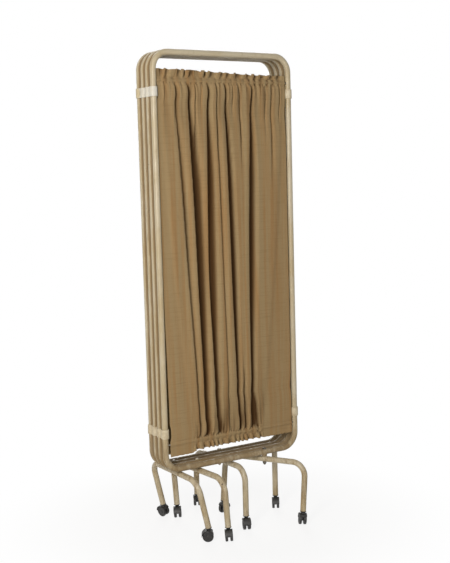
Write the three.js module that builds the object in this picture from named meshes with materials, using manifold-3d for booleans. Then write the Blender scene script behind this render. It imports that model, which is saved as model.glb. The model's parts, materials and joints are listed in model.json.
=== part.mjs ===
// A ward privacy screen on wheels: four tube frames with gathered curtains, folded flat.
// Units are millimetres. +Z is up, +X runs along the panels, the front panel faces -Y.
import * as THREE from "three";
import { mergeVertices } from "three/addons/utils/BufferGeometryUtils.js";
import Module from "manifold-3d";

const wasm = await Module();
wasm.setup();

// Shared clearances
const SEAT_GAP = 0.3;
const RUNNING_GAP = 0.5;
const CUT_OVERRUN = 2;
const MERGE_TOLERANCE = 1e-4;

// Panel frames
const PANEL_WIDTH = 578;
const PANEL_HEIGHT = 1500;
const PANEL_PITCH = 34;
const RAIL_HEIGHT = 258;
const TUBE_RADIUS = 11;
const TUBE_SIDES = 10;
const CORNER_RADIUS = 60;
const CORNER_STEPS = 5;

// Hinge clips and end collars
const CLIP_WALL = 2.8;
const CLIP_HEIGHT = 34;
const CLIP_INSET = 138;
const CLIP_WAIST = 9;
const CLIP_ARC_FACETS = 10;

// Curtain rods
const ROD_RADIUS = 2.2;
const ROD_SIDES = 8;
const ROD_INSET_TOP = 98;
const ROD_INSET_BOTTOM = 95;
const ROD_ENTRY = 4;

// Curtains
const CURTAIN_EDGE_GAP = 9;
const CURTAIN_FRILL_TOP = 40;
const CURTAIN_FRILL_BOTTOM = 36;
const CURTAIN_THICKNESS = 1.6;
const CASING_HALF_HEIGHT = 5;
const CASING_THICKNESS = 9;
const CASING_SHOULDER = 11;
const FOLD_COUNT = 11;
const FOLD_STEPS = 4;
const FOLD_DEPTH = 11;
const FOLD_DEPTH_CASING = 1.2;
const FOLD_DEPTH_FRILL = 5;
const FOLD_DRIFT = 9;
const SELVEDGE_FLAT = 85;
const LEFT_FLAT_TOP_SHARE = 0.35;
const RIGHT_FLAT_TOP_SHARE = 0.3;
const FLAT_EDGE_SHARE = 0.35;

// Swivelling arch feet, each bolted under the middle of its bar
const FOOT_HALF_SPAN = 170;
const FOOT_BEND_RADIUS = 52;
const FOOT_BEND_STEPS = 5;
const FOOT_DROP = 28;
const FOOT_BOSS_RADIUS = 10;
const FOOT_BOSS_SIDES = 14;
const LEG_WALL = 1.9;
const LEG_BORE_DEPTH = 27;

// Foot bolts
const BOLT_RADIUS = 4;
const BOLT_HEAD_RADIUS = 8;
const BOLT_HEAD_HEIGHT = 4.5;
const BOLT_SIDES = 12;
const NUT_RADIUS = 7;
const NUT_HEIGHT = 7;
const NUT_SIDES = 6;
const NUT_DOME_RADIUS = 5.2;

// Leg ferrules
const FERRULE_RIM_RADIUS = 12;
const FERRULE_RIM_HEIGHT = 1.6;
const FERRULE_NECK_RADIUS = 7;
const FERRULE_DEPTH = 6.5;
const FERRULE_PLUG_LENGTH = 22;
const FERRULE_SIDES = 10;

// Twin-wheel casters
const STEM_RADIUS = 4;
const STEM_RISE = 18;
const STEM_SIDES = 8;
const WHEEL_RADIUS = 20.5;
const WHEEL_WIDTH = 10;
const WHEEL_FACETS = 12;
const WHEEL_EDGE = 2;
const WHEEL_DISH = 1.5;
const WHEEL_DISH_RADIUS = 14;
const CASTER_GAP = 8;
const CASTER_TRAIL = 8;
const AXLE_RADIUS = 2.5;
const AXLE_BOSS_RADIUS = 7;
const HOOD_GAP = 0.9;
const HOOD_WALL = 1.6;
const HOOD_OVERHANG = 0.6;
const HOOD_START = THREE.MathUtils.degToRad(8);
const HOOD_END = THREE.MathUtils.degToRad(150);
const HOOD_STEPS = 3;
const WEB_CLEARANCE = 0.8;
const NECK_RADIUS = 7.5;

// The four feet, front panel first: the bolt's place as a share of the panel's width, then in
// degrees how far the foot has turned on its bolt, how far it leans and which way each caster
// trails.
const FEET = [
  { boltShare: 0.747, turn: 30, lean: -9, trails: { front: 62, rear: 26 } },
  { boltShare: 0.261, turn: 3.4, lean: 4, trails: { front: -120, rear: -122 } },
  { boltShare: 0.119, turn: 0, lean: 13, trails: { front: 148, rear: 103 } },
  { boltShare: 0.502, turn: 2, lean: 0, trails: { front: -114, rear: 62 } },
];
const PANEL_COUNT = FEET.length;
const PROP_PANEL = 3;
const PROP_INSET = 52;
const PROP_TRAIL = -124;

const UP = new THREE.Vector3(0, 0, 1);
const DEGREE = THREE.MathUtils.DEG2RAD;

const paint = { color: 0xd5c6aa, roughness: 0.42, metalness: 0.1 };
const cloth = { color: 0x8c734f, roughness: 0.92, metalness: 0 };
const wire = { color: 0xb9b2a2, roughness: 0.4, metalness: 0.8 };
const clipPlastic = { color: 0xdad7cf, roughness: 0.5, metalness: 0 };
const blackPlastic = { color: 0x242424, roughness: 0.55, metalness: 0 };
const boltSteel = { color: 0x5c5850, roughness: 0.5, metalness: 0.7 };

// Solid modelling helpers

// Turns a closed geometry into a solid that can be joined and cut.
function solidFrom(geometry) {
  const bare = geometry.clone();
  bare.deleteAttribute("normal");
  bare.deleteAttribute("uv");
  const merged = mergeVertices(bare, MERGE_TOLERANCE);
  const mesh = new wasm.Mesh({
    numProp: 3,
    vertProperties: new Float32Array(merged.attributes.position.array),
    triVerts: new Uint32Array(merged.index.array),
  });
  return new wasm.Manifold(mesh);
}

// Turns a solid back into geometry.
function geometryFrom(solid) {
  const mesh = solid.getMesh();
  const geometry = new THREE.BufferGeometry();
  const vertices = new Float32Array(mesh.numVert * 3);
  for (let i = 0; i < mesh.numVert; i++) {
    const start = i * mesh.numProp;
    vertices.set(mesh.vertProperties.subarray(start, start + 3), i * 3);
  }
  geometry.setAttribute("position", new THREE.BufferAttribute(vertices, 3));
  geometry.setIndex(new THREE.BufferAttribute(mesh.triVerts, 1));
  geometry.computeVertexNormals();
  return geometry;
}

// Makes one named mesh with its own material.
function piece(name, geometry, finish) {
  const mesh = new THREE.Mesh(geometry, new THREE.MeshStandardMaterial(finish));
  mesh.name = name;
  return mesh;
}

// A round bar from one point to another.
function roundBar(from, to, radius, sides) {
  const along = to.clone().sub(from);
  const bar = new THREE.CylinderGeometry(radius, radius, along.length(), sides);
  bar.rotateX(Math.PI / 2);
  const turn = new THREE.Quaternion().setFromUnitVectors(UP, along.clone().normalize());
  bar.applyQuaternion(turn);
  const middle = from.clone().add(to).multiplyScalar(0.5);
  bar.translate(middle.x, middle.y, middle.z);
  return bar;
}

// A tube's centre line through given points, with one section at each point.
class BentLine extends THREE.Curve {
  constructor(points, closed) {
    super();
    this.points = points;
    this.closed = closed;
  }

  getPointAt(share) {
    const index = Math.round(share * (this.points.length - 1));
    return this.points[index].clone();
  }

  getTangentAt(share) {
    const last = this.points.length - 1;
    const index = Math.round(share * last);
    const wrapped = this.closed && (index === 0 || index === last);
    const before = wrapped ? this.points[last - 1] : this.points[Math.max(index - 1, 0)];
    const after = wrapped ? this.points[1] : this.points[Math.min(index + 1, last)];
    const here = this.points[index];
    const incoming = here.clone().sub(before).normalize();
    const outgoing = after.clone().sub(here).normalize();
    return incoming.add(outgoing).normalize();
  }
}

// Points of a quarter bend in the plane of two directions, from one to the other.
function bendPoints(centre, radius, startWay, endWay, steps) {
  const points = [];
  for (let i = 0; i <= steps; i++) {
    const angle = (Math.PI / 2) * (i / steps);
    const point = centre.clone();
    point.addScaledVector(startWay, radius * Math.cos(angle));
    point.addScaledVector(endWay, radius * Math.sin(angle));
    points.push(point);
  }
  return points;
}

// A round tube along a bent line. A closed line leaves out the two end caps.
function bentTube(points, closed) {
  const section = new THREE.Shape();
  section.absarc(0, 0, TUBE_RADIUS, 0, 2 * Math.PI);
  const tube = new THREE.ExtrudeGeometry(section, {
    steps: points.length - 1,
    curveSegments: TUBE_SIDES / 2,
    extrudePath: new BentLine(points, closed),
  });
  if (!closed) return tube;
  const sides = tube.groups[1];
  const all = tube.getAttribute("position");
  const kept = all.array.slice(sides.start * 3, (sides.start + sides.count) * 3);
  const open = new THREE.BufferGeometry();
  open.setAttribute("position", new THREE.BufferAttribute(kept, 3));
  return open;
}

// Panel frames

// The closed loop of a frame's centre line, standing in the XZ plane.
function frameLoop() {
  const left = new THREE.Vector3(-1, 0, 0);
  const right = new THREE.Vector3(1, 0, 0);
  const down = new THREE.Vector3(0, 0, -1);
  const near = CORNER_RADIUS;
  const far = PANEL_WIDTH - CORNER_RADIUS;
  const low = RAIL_HEIGHT + CORNER_RADIUS;
  const high = RAIL_HEIGHT + PANEL_HEIGHT - CORNER_RADIUS;
  const corners = [
    [near, low, left, down],
    [far, low, down, right],
    [far, high, right, UP],
    [near, high, UP, left],
  ];
  const loop = corners.flatMap(([x, z, startWay, endWay]) =>
    bendPoints(new THREE.Vector3(x, 0, z), CORNER_RADIUS, startWay, endWay, CORNER_STEPS),
  );
  loop.push(loop[0].clone());
  return loop;
}

// Heights of the two curtain rods.
function rodHeights() {
  return {
    top: RAIL_HEIGHT + PANEL_HEIGHT - ROD_INSET_TOP,
    bottom: RAIL_HEIGHT + ROD_INSET_BOTTOM,
  };
}

// The blind holes in a frame's uprights that take the rods' ends.
function rodHoles() {
  const { top, bottom } = rodHeights();
  const inset = TUBE_RADIUS - ROD_ENTRY - SEAT_GAP;
  const holes = [];
  for (const height of [top, bottom]) {
    const left = new THREE.Vector3(inset, 0, height);
    const leftMouth = new THREE.Vector3(TUBE_RADIUS + CUT_OVERRUN, 0, height);
    const right = new THREE.Vector3(PANEL_WIDTH - inset, 0, height);
    const rightMouth = new THREE.Vector3(PANEL_WIDTH - TUBE_RADIUS - CUT_OVERRUN, 0, height);
    holes.push(roundBar(left, leftMouth, ROD_RADIUS + SEAT_GAP, ROD_SIDES));
    holes.push(roundBar(right, rightMouth, ROD_RADIUS + SEAT_GAP, ROD_SIDES));
  }
  return holes;
}

// One frame: the tube loop, the boss that its foot bears on, and the bolt and rod holes.
function frameGeometry(boltPlace) {
  const railTop = RAIL_HEIGHT + TUBE_RADIUS + CUT_OVERRUN;
  const bossFoot = RAIL_HEIGHT - FOOT_DROP + TUBE_RADIUS + SEAT_GAP;
  const bossTop = new THREE.Vector3(boltPlace, 0, RAIL_HEIGHT);
  const bossEnd = new THREE.Vector3(boltPlace, 0, bossFoot);
  const boss = roundBar(bossEnd, bossTop, FOOT_BOSS_RADIUS, FOOT_BOSS_SIDES);
  const holeTop = new THREE.Vector3(boltPlace, 0, railTop);
  const holeEnd = new THREE.Vector3(boltPlace, 0, bossFoot - CUT_OVERRUN);
  const hole = roundBar(holeEnd, holeTop, BOLT_RADIUS + SEAT_GAP, BOLT_SIDES);
  let frame = solidFrom(bentTube(frameLoop(), true)).add(solidFrom(boss));
  for (const cut of [hole, ...rodHoles()]) {
    frame = frame.subtract(solidFrom(cut));
  }
  return geometryFrom(frame);
}

// One curtain rod between a frame's uprights.
function rodGeometry(height) {
  const reach = TUBE_RADIUS - ROD_ENTRY;
  const from = new THREE.Vector3(reach, 0, height);
  const to = new THREE.Vector3(PANEL_WIDTH - reach, 0, height);
  return roundBar(from, to, ROD_RADIUS, ROD_SIDES);
}

// Hinge clips and end collars

// Outline of two collars joined by a waist; one collar when the spacing is zero.
function clipShape(spacing) {
  const outer = TUBE_RADIUS + SEAT_GAP + CLIP_WALL;
  const bore = (TUBE_RADIUS + SEAT_GAP) / Math.cos(Math.PI / CLIP_ARC_FACETS);
  const shape = new THREE.Shape();
  if (spacing > 0) {
    const waistAngle = Math.asin(CLIP_WAIST / outer);
    shape.absarc(0, 0, outer, Math.PI / 2 + waistAngle, Math.PI * 2.5 - waistAngle, false);
    shape.absarc(0, spacing, outer, -Math.PI / 2 + waistAngle, Math.PI * 1.5 - waistAngle, false);
    shape.closePath();
  } else {
    shape.absarc(0, 0, outer, 0, 2 * Math.PI, false);
  }
  for (const offset of spacing > 0 ? [0, spacing] : [0]) {
    const hole = new THREE.Path();
    hole.absarc(0, offset, bore, 0, 2 * Math.PI, true);
    shape.holes.push(hole);
  }
  return shape;
}

// A clip or collar, its middle at the given height.
function clipGeometry(spacing, height) {
  const clip = new THREE.ExtrudeGeometry(clipShape(spacing), {
    depth: CLIP_HEIGHT,
    bevelEnabled: false,
    curveSegments: CLIP_ARC_FACETS / 2,
  });
  clip.translate(0, 0, height - CLIP_HEIGHT / 2);
  return clip;
}

// Heights of the middles of the upper and lower clips.
function clipHeights() {
  return {
    top: RAIL_HEIGHT + PANEL_HEIGHT - CLIP_INSET,
    bottom: RAIL_HEIGHT + CLIP_INSET,
  };
}

// Curtains

// Eases from nought to one.
function ease(share) {
  const clamped = Math.min(Math.max(share, 0), 1);
  return clamped * clamped * (3 - 2 * clamped);
}

// How deep the folds are at a place across and down the curtain, as a share of the full depth.
function foldShare(across, down) {
  const width = PANEL_WIDTH - 2 * (TUBE_RADIUS + CURTAIN_EDGE_GAP);
  const flatLeft = SELVEDGE_FLAT * THREE.MathUtils.lerp(LEFT_FLAT_TOP_SHARE, 1, down);
  const flatRight = SELVEDGE_FLAT * THREE.MathUtils.lerp(RIGHT_FLAT_TOP_SHARE, 1, down);
  const rise = ease((across * width) / flatLeft - FLAT_EDGE_SHARE);
  const fall = ease(((1 - across) * width) / flatRight - FLAT_EDGE_SHARE);
  return Math.min(rise, fall);
}

// The rows of a curtain: height, half thickness and fold depth.
function curtainRows() {
  const { top, bottom } = rodHeights();
  const sheet = CURTAIN_THICKNESS / 2;
  const casing = CASING_THICKNESS / 2;
  const middle = (top + bottom) / 2;
  return [
    [top + CURTAIN_FRILL_TOP, sheet, FOLD_DEPTH_FRILL],
    [top + CASING_HALF_HEIGHT, casing, FOLD_DEPTH_CASING],
    [top - CASING_HALF_HEIGHT, casing, FOLD_DEPTH_CASING],
    [top - CASING_HALF_HEIGHT - CASING_SHOULDER, sheet, FOLD_DEPTH_FRILL],
    [middle, sheet, FOLD_DEPTH],
    [bottom + CASING_HALF_HEIGHT + CASING_SHOULDER, sheet, FOLD_DEPTH_FRILL],
    [bottom + CASING_HALF_HEIGHT, casing, FOLD_DEPTH_CASING],
    [bottom - CASING_HALF_HEIGHT, casing, FOLD_DEPTH_CASING],
    [bottom - CURTAIN_FRILL_BOTTOM, sheet, FOLD_DEPTH_FRILL],
  ];
}

// The folded sheet: a wave across the panel, flat at the selvedges, thick round the rods.
function curtainSheet(phase) {
  const rows = curtainRows();
  const columns = FOLD_COUNT * FOLD_STEPS;
  const start = TUBE_RADIUS + CURTAIN_EDGE_GAP;
  const width = PANEL_WIDTH - 2 * start;
  const vertices = [];
  const highest = rows[0][0];
  const lowest = rows[rows.length - 1][0];
  for (const side of [-1, 1]) {
    for (const [height, half, depth] of rows) {
      const down = (highest - height) / (highest - lowest);
      for (let i = 0; i <= columns; i++) {
        const across = i / columns;
        const wave = Math.sin(2 * Math.PI * (FOLD_COUNT * across + phase));
        const share = foldShare(across, down);
        const slip = FOLD_DRIFT * Math.sin(Math.PI * across) * (0.5 - down);
        const offset = depth * share * wave + side * half;
        vertices.push(start + across * width + slip, offset, height);
      }
    }
  }
  return sheetShell(vertices, rows.length, columns + 1);
}

// Closes a front and a back grid of the same size into one shell.
function sheetShell(vertices, rowCount, columnCount) {
  const back = rowCount * columnCount;
  const faces = [];
  const quad = (a, b, c, d) => faces.push(a, b, c, a, c, d);
  const at = (row, column) => row * columnCount + column;
  for (let row = 0; row < rowCount - 1; row++) {
    for (let column = 0; column < columnCount - 1; column++) {
      const a = at(row, column);
      const b = at(row + 1, column);
      const c = at(row + 1, column + 1);
      const d = at(row, column + 1);
      quad(a, b, c, d);
      quad(back + a, back + d, back + c, back + b);
    }
  }
  for (let row = 0; row < rowCount - 1; row++) {
    const last = columnCount - 1;
    quad(at(row, 0), back + at(row, 0), back + at(row + 1, 0), at(row + 1, 0));
    quad(at(row + 1, last), back + at(row + 1, last), back + at(row, last), at(row, last));
  }
  for (let column = 0; column < columnCount - 1; column++) {
    const last = rowCount - 1;
    quad(at(0, column + 1), back + at(0, column + 1), back + at(0, column), at(0, column));
    quad(
      at(last, column),
      back + at(last, column),
      back + at(last, column + 1),
      at(last, column + 1),
    );
  }
  const shell = new THREE.BufferGeometry();
  shell.setAttribute("position", new THREE.Float32BufferAttribute(vertices, 3));
  shell.setIndex(faces);
  return shell;
}

// One curtain with the rods' passages through its casings.
function curtainGeometry(phase) {
  let curtain = solidFrom(curtainSheet(phase));
  const { top, bottom } = rodHeights();
  for (const height of [top, bottom]) {
    const from = new THREE.Vector3(TUBE_RADIUS, 0, height);
    const to = new THREE.Vector3(PANEL_WIDTH - TUBE_RADIUS, 0, height);
    const passage = roundBar(from, to, ROD_RADIUS + SEAT_GAP, ROD_SIDES);
    curtain = curtain.subtract(solidFrom(passage));
  }
  return geometryFrom(curtain);
}

// Casters

// A revolved profile of [radius, height] pairs about the local Z axis.
function revolved(profile, sides) {
  const points = profile.map(([radius, height]) => new THREE.Vector2(radius, height));
  const body = new THREE.LatheGeometry(points, sides);
  body.rotateX(Math.PI / 2);
  return body;
}

// The wheels' outer radius at the corners between their flats.
function wheelCornerRadius() {
  return WHEEL_RADIUS / Math.cos(Math.PI / WHEEL_FACETS);
}

// Depth of the axle below the leg's end.
function axleDepth() {
  const hood = wheelCornerRadius() + HOOD_GAP + HOOD_WALL;
  return FERRULE_DEPTH + SEAT_GAP + hood;
}

// Both wheels on their axle, along local Y, centred between them.
function wheelPairGeometry() {
  const rim = wheelCornerRadius();
  const inner = CASTER_GAP / 2;
  const outer = inner + WHEEL_WIDTH;
  const profile = [
    [0, -outer + WHEEL_DISH],
    [WHEEL_DISH_RADIUS, -outer + WHEEL_DISH],
    [rim - WHEEL_EDGE, -outer],
    [rim, -outer + WHEEL_EDGE],
    [rim, -inner],
    [AXLE_RADIUS, -inner],
    [AXLE_RADIUS, inner],
    [rim, inner],
    [rim, outer - WHEEL_EDGE],
    [rim - WHEEL_EDGE, outer],
    [WHEEL_DISH_RADIUS, outer - WHEEL_DISH],
    [0, outer - WHEEL_DISH],
  ];
  const wheels = revolved(profile, WHEEL_FACETS);
  wheels.rotateZ(Math.PI / WHEEL_FACETS);
  wheels.rotateX(Math.PI / 2);
  return geometryFrom(solidFrom(wheels));
}

// Side view of the hood's curved wall, with the axle at the origin.
function hoodBandShape() {
  const inner = wheelCornerRadius() + HOOD_GAP;
  const outer = inner + HOOD_WALL;
  const shape = new THREE.Shape();
  shape.absarc(0, 0, outer, HOOD_START, HOOD_END, false);
  shape.absarc(0, 0, inner, HOOD_END, HOOD_START, true);
  shape.closePath();
  return shape;
}

// Side view of the web between the wheels, which carries the axle.
function hoodWebShape() {
  const outer = wheelCornerRadius() + HOOD_GAP + HOOD_WALL / 2;
  const shape = new THREE.Shape();
  shape.absarc(0, 0, outer, HOOD_START, HOOD_END, false);
  shape.absarc(0, 0, AXLE_BOSS_RADIUS, HOOD_END + Math.PI / 4, 2 * Math.PI + HOOD_START, false);
  shape.closePath();
  const bore = new THREE.Path();
  bore.absarc(0, 0, AXLE_RADIUS + RUNNING_GAP, 0, 2 * Math.PI, true);
  shape.holes.push(bore);
  return shape;
}

// Extrudes a side view across the caster's width, about its middle.
function acrossCaster(shape, width, segments) {
  const slab = new THREE.ExtrudeGeometry(shape, {
    depth: width,
    bevelEnabled: false,
    curveSegments: segments,
  });
  slab.translate(0, 0, -width / 2);
  slab.rotateX(Math.PI / 2);
  return slab;
}

// The caster's housing: hood, web, neck and stem. The origin is the leg's end, on the stem.
function housingGeometry() {
  const width = CASTER_GAP + 2 * WHEEL_WIDTH + 2 * HOOD_OVERHANG;
  const depth = axleDepth();
  const band = acrossCaster(hoodBandShape(), width, HOOD_STEPS);
  const web = acrossCaster(hoodWebShape(), CASTER_GAP - 2 * WEB_CLEARANCE, HOOD_STEPS);
  for (const part of [band, web]) {
    part.translate(CASTER_TRAIL, 0, -depth);
  }
  const underHood = new THREE.Vector3(0, 0, -FERRULE_DEPTH - SEAT_GAP - 2 * HOOD_WALL);
  const shoulder = new THREE.Vector3(0, 0, -FERRULE_DEPTH - SEAT_GAP);
  const stemTop = new THREE.Vector3(0, 0, STEM_RISE);
  const neck = roundBar(underHood, shoulder, NECK_RADIUS, FERRULE_SIDES);
  const stem = roundBar(underHood, stemTop, STEM_RADIUS, STEM_SIDES);
  const parts = [band, web, neck, stem].map(solidFrom);
  return geometryFrom(parts.reduce((whole, part) => whole.add(part)));
}

// The ferrule that closes a leg's end and takes the stem. The origin is the leg's end.
function ferruleGeometry() {
  const bore = STEM_RADIUS + SEAT_GAP;
  const plug = TUBE_RADIUS - LEG_WALL - SEAT_GAP;
  const rimTop = -SEAT_GAP;
  const profile = [
    [bore, -FERRULE_DEPTH],
    [FERRULE_NECK_RADIUS, -FERRULE_DEPTH],
    [FERRULE_RIM_RADIUS, rimTop - FERRULE_RIM_HEIGHT],
    [FERRULE_RIM_RADIUS, rimTop],
    [plug, rimTop],
    [plug, FERRULE_PLUG_LENGTH],
    [bore, FERRULE_PLUG_LENGTH],
    [bore, -FERRULE_DEPTH],
  ];
  return geometryFrom(solidFrom(revolved(profile, FERRULE_SIDES)));
}

// One caster hung from a leg's end: a fixed ferrule and a swivel with its wheels.
function caster(label, trailAngle) {
  const legEnd = new THREE.Group();
  legEnd.add(piece("leg_ferrule_" + label, ferruleGeometry(), blackPlastic));
  const swivel = new THREE.Group();
  swivel.name = "swivel_" + label;
  swivel.rotation.z = trailAngle;
  swivel.add(piece("caster_housing_" + label, housingGeometry(), blackPlastic));
  const axle = new THREE.Group();
  axle.name = "axle_" + label;
  axle.position.set(CASTER_TRAIL, 0, -axleDepth());
  axle.add(piece("wheel_pair_" + label, wheelPairGeometry(), blackPlastic));
  swivel.add(axle);
  legEnd.add(swivel);
  return legEnd;
}

// How far a caster reaches below its leg's end, standing as its leg leans.
function casterReach(standing) {
  const holder = new THREE.Group();
  holder.quaternion.copy(standing);
  return (legEnd) => {
    holder.add(legEnd);
    holder.updateMatrixWorld(true);
    const reach = -new THREE.Box3().setFromObject(holder, true).min.z;
    holder.remove(legEnd);
    return reach;
  };
}

// Feet

// The centre line of an arch foot: front leg, bar and rear leg, in its own YZ plane.
function archLine(frontLength, rearLength) {
  const front = new THREE.Vector3(0, -1, 0);
  const rear = new THREE.Vector3(0, 1, 0);
  const bendAt = FOOT_HALF_SPAN - FOOT_BEND_RADIUS;
  const frontCentre = new THREE.Vector3(0, -bendAt, -FOOT_BEND_RADIUS);
  const rearCentre = new THREE.Vector3(0, bendAt, -FOOT_BEND_RADIUS);
  return [
    new THREE.Vector3(0, -FOOT_HALF_SPAN, -frontLength),
    ...bendPoints(frontCentre, FOOT_BEND_RADIUS, front, UP, FOOT_BEND_STEPS),
    ...bendPoints(rearCentre, FOOT_BEND_RADIUS, UP, rear, FOOT_BEND_STEPS),
    new THREE.Vector3(0, FOOT_HALF_SPAN, -rearLength),
  ];
}

// The bore up a leg's end that takes the ferrule's plug.
function legBore(end) {
  const mouth = end.clone().addScaledVector(UP, -CUT_OVERRUN);
  const top = end.clone().addScaledVector(UP, LEG_BORE_DEPTH);
  return roundBar(mouth, top, TUBE_RADIUS - LEG_WALL, FERRULE_SIDES);
}

// An arch foot, bored for its two ferrules and, plumb through its bar, for its bolt.
function archGeometry(line, lean) {
  const reach = new THREE.Vector3(0, 0, TUBE_RADIUS + CUT_OVERRUN);
  const hole = roundBar(reach.clone().negate(), reach, BOLT_RADIUS + SEAT_GAP, BOLT_SIDES);
  hole.rotateY(-lean);
  let arch = solidFrom(bentTube(line, false));
  for (const cut of [hole, legBore(line[0]), legBore(line[line.length - 1])]) {
    arch = arch.subtract(solidFrom(cut));
  }
  return geometryFrom(arch);
}

// One arch foot with its two casters, hung from the bolt's place. Each leg is as long as it
// takes to stand its own caster on the floor.
function archFoot(number, { turn, lean, trails }) {
  const foot = new THREE.Group();
  foot.name = "foot_" + number;
  foot.rotation.z = turn * DEGREE;
  const leaning = new THREE.Group();
  leaning.rotation.y = -lean * DEGREE;
  const standing = new THREE.Quaternion().setFromEuler(new THREE.Euler(0, -lean * DEGREE, 0));
  const reachOf = casterReach(standing);
  const front = caster(number + "_front", (trails.front - turn) * DEGREE);
  const rear = caster(number + "_rear", (trails.rear - turn) * DEGREE);
  const barHeight = RAIL_HEIGHT - FOOT_DROP;
  const legLength = (end) => (barHeight - reachOf(end)) / Math.cos(lean * DEGREE);
  const line = archLine(legLength(front), legLength(rear));
  front.position.copy(line[0]);
  rear.position.copy(line[line.length - 1]);
  leaning.add(piece("arch_foot_" + number, archGeometry(line, -lean * DEGREE), paint));
  leaning.add(front, rear);
  foot.add(leaning);
  return foot;
}

// The bolt that holds a foot under its rail: domed head, shank and domed nut.
function boltGeometry() {
  const head = TUBE_RADIUS + SEAT_GAP;
  const nutTop = -FOOT_DROP - TUBE_RADIUS - SEAT_GAP;
  const profile = [
    [0, nutTop - NUT_HEIGHT - NUT_DOME_RADIUS],
    [NUT_DOME_RADIUS * Math.SQRT1_2, nutTop - NUT_HEIGHT - NUT_DOME_RADIUS * Math.SQRT1_2],
    [NUT_DOME_RADIUS, nutTop - NUT_HEIGHT],
    [BOLT_RADIUS, nutTop],
    [BOLT_RADIUS, head],
    [BOLT_HEAD_RADIUS, head],
    [BOLT_HEAD_RADIUS * Math.SQRT1_2, head + BOLT_HEAD_HEIGHT * Math.SQRT1_2],
    [0, head + BOLT_HEAD_HEIGHT],
  ];
  const nutFrom = new THREE.Vector3(0, 0, nutTop - NUT_HEIGHT);
  const nutTo = new THREE.Vector3(0, 0, nutTop);
  const nut = roundBar(nutFrom, nutTo, NUT_RADIUS, NUT_SIDES);
  const body = solidFrom(revolved(profile, BOLT_SIDES)).add(solidFrom(nut));
  return geometryFrom(body);
}

// The straight prop leg under a rail, its top cut to sit against the tube.
function propGeometry(bottom) {
  const foot = new THREE.Vector3(0, 0, bottom);
  const head = new THREE.Vector3(0, 0, RAIL_HEIGHT);
  const reach = new THREE.Vector3(TUBE_RADIUS + CUT_OVERRUN, 0, 0);
  const seatFrom = head.clone().sub(reach);
  const seatTo = head.clone().add(reach);
  const seat = roundBar(seatFrom, seatTo, TUBE_RADIUS + SEAT_GAP, 2 * TUBE_SIDES);
  let leg = solidFrom(roundBar(foot, head, TUBE_RADIUS, 2 * FERRULE_SIDES));
  for (const cut of [seat, legBore(foot)]) {
    leg = leg.subtract(solidFrom(cut));
  }
  return geometryFrom(leg);
}

// The prop leg with its caster.
function propLeg() {
  const prop = new THREE.Group();
  const foot = caster("prop", PROP_TRAIL * DEGREE);
  const bottom = casterReach(new THREE.Quaternion())(foot);
  foot.position.z = bottom;
  prop.add(piece("prop_leg", propGeometry(bottom), paint));
  prop.add(foot);
  prop.position.x = PANEL_WIDTH - PROP_INSET;
  return prop;
}

// Assembly

// One panel: frame, rods, curtain and foot. Its origin is its left upright, on the floor.
function panel(number) {
  const foot = FEET[number - 1];
  const boltPlace = foot.boltShare * PANEL_WIDTH;
  const { top, bottom } = rodHeights();
  const group = new THREE.Group();
  group.name = "panel_" + number;
  group.position.y = (number - 1) * PANEL_PITCH;
  group.add(piece("frame_" + number, frameGeometry(boltPlace), paint));
  group.add(piece("rod_top_" + number, rodGeometry(top), wire));
  group.add(piece("rod_bottom_" + number, rodGeometry(bottom), wire));
  group.add(piece("curtain_" + number, curtainGeometry(number / PANEL_COUNT), cloth));
  const bolt = piece("foot_bolt_" + number, boltGeometry(), boltSteel);
  bolt.position.set(boltPlace, 0, RAIL_HEIGHT);
  const arch = archFoot(number, foot);
  arch.position.set(boltPlace, 0, RAIL_HEIGHT - FOOT_DROP);
  group.add(bolt, arch);
  if (number === PROP_PANEL) group.add(propLeg());
  return group;
}

// The pair of clips that joins a panel to the next one, on the left or right uprights in turn.
function hingeClips(number) {
  const clips = new THREE.Group();
  clips.name = "link_" + number + "_" + (number + 1);
  const onLeft = number % 2 === 1;
  clips.position.set(onLeft ? 0 : PANEL_WIDTH, (number - 1) * PANEL_PITCH, 0);
  for (const [level, height] of Object.entries(clipHeights())) {
    const name = "hinge_clip_" + level + "_" + number + (number + 1);
    clips.add(piece(name, clipGeometry(PANEL_PITCH, height), clipPlastic));
  }
  return clips;
}

// The plain collars on the front panel's free upright.
function endCollars() {
  const collars = new THREE.Group();
  collars.position.x = PANEL_WIDTH;
  for (const [level, height] of Object.entries(clipHeights())) {
    collars.add(piece("end_collar_" + level, clipGeometry(0, height), clipPlastic));
  }
  return collars;
}

// The whole screen, folded, its origin under the middle of its own footprint.
function privacyScreen() {
  const body = new THREE.Group();
  body.name = "folded";
  for (let number = 1; number <= PANEL_COUNT; number++) {
    body.add(panel(number));
    if (number < PANEL_COUNT) body.add(hingeClips(number));
  }
  body.add(endCollars());
  body.updateMatrixWorld(true);
  const box = new THREE.Box3().setFromObject(body, true);
  const middle = box.getCenter(new THREE.Vector3());
  body.position.set(-middle.x, -middle.y, 0);
  const screen = new THREE.Group();
  screen.add(body);
  return screen;
}

export default privacyScreen();
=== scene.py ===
"""Looks of a folding ward privacy screen on wheels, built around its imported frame.

Every piece is a surface worked out on a grid with numpy, placed from the frame's own
joints and boxes, and dressed with node materials named for the real finishes. The pieces'
dataclasses hold sizes in millimetres and angles in degrees. Surfaces, places and the
studio are in metres.
"""

import json
import logging
from dataclasses import dataclass
from enum import Enum, IntEnum
from functools import lru_cache, partial
from typing import Any, Callable, NamedTuple, Optional, Union

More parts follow.
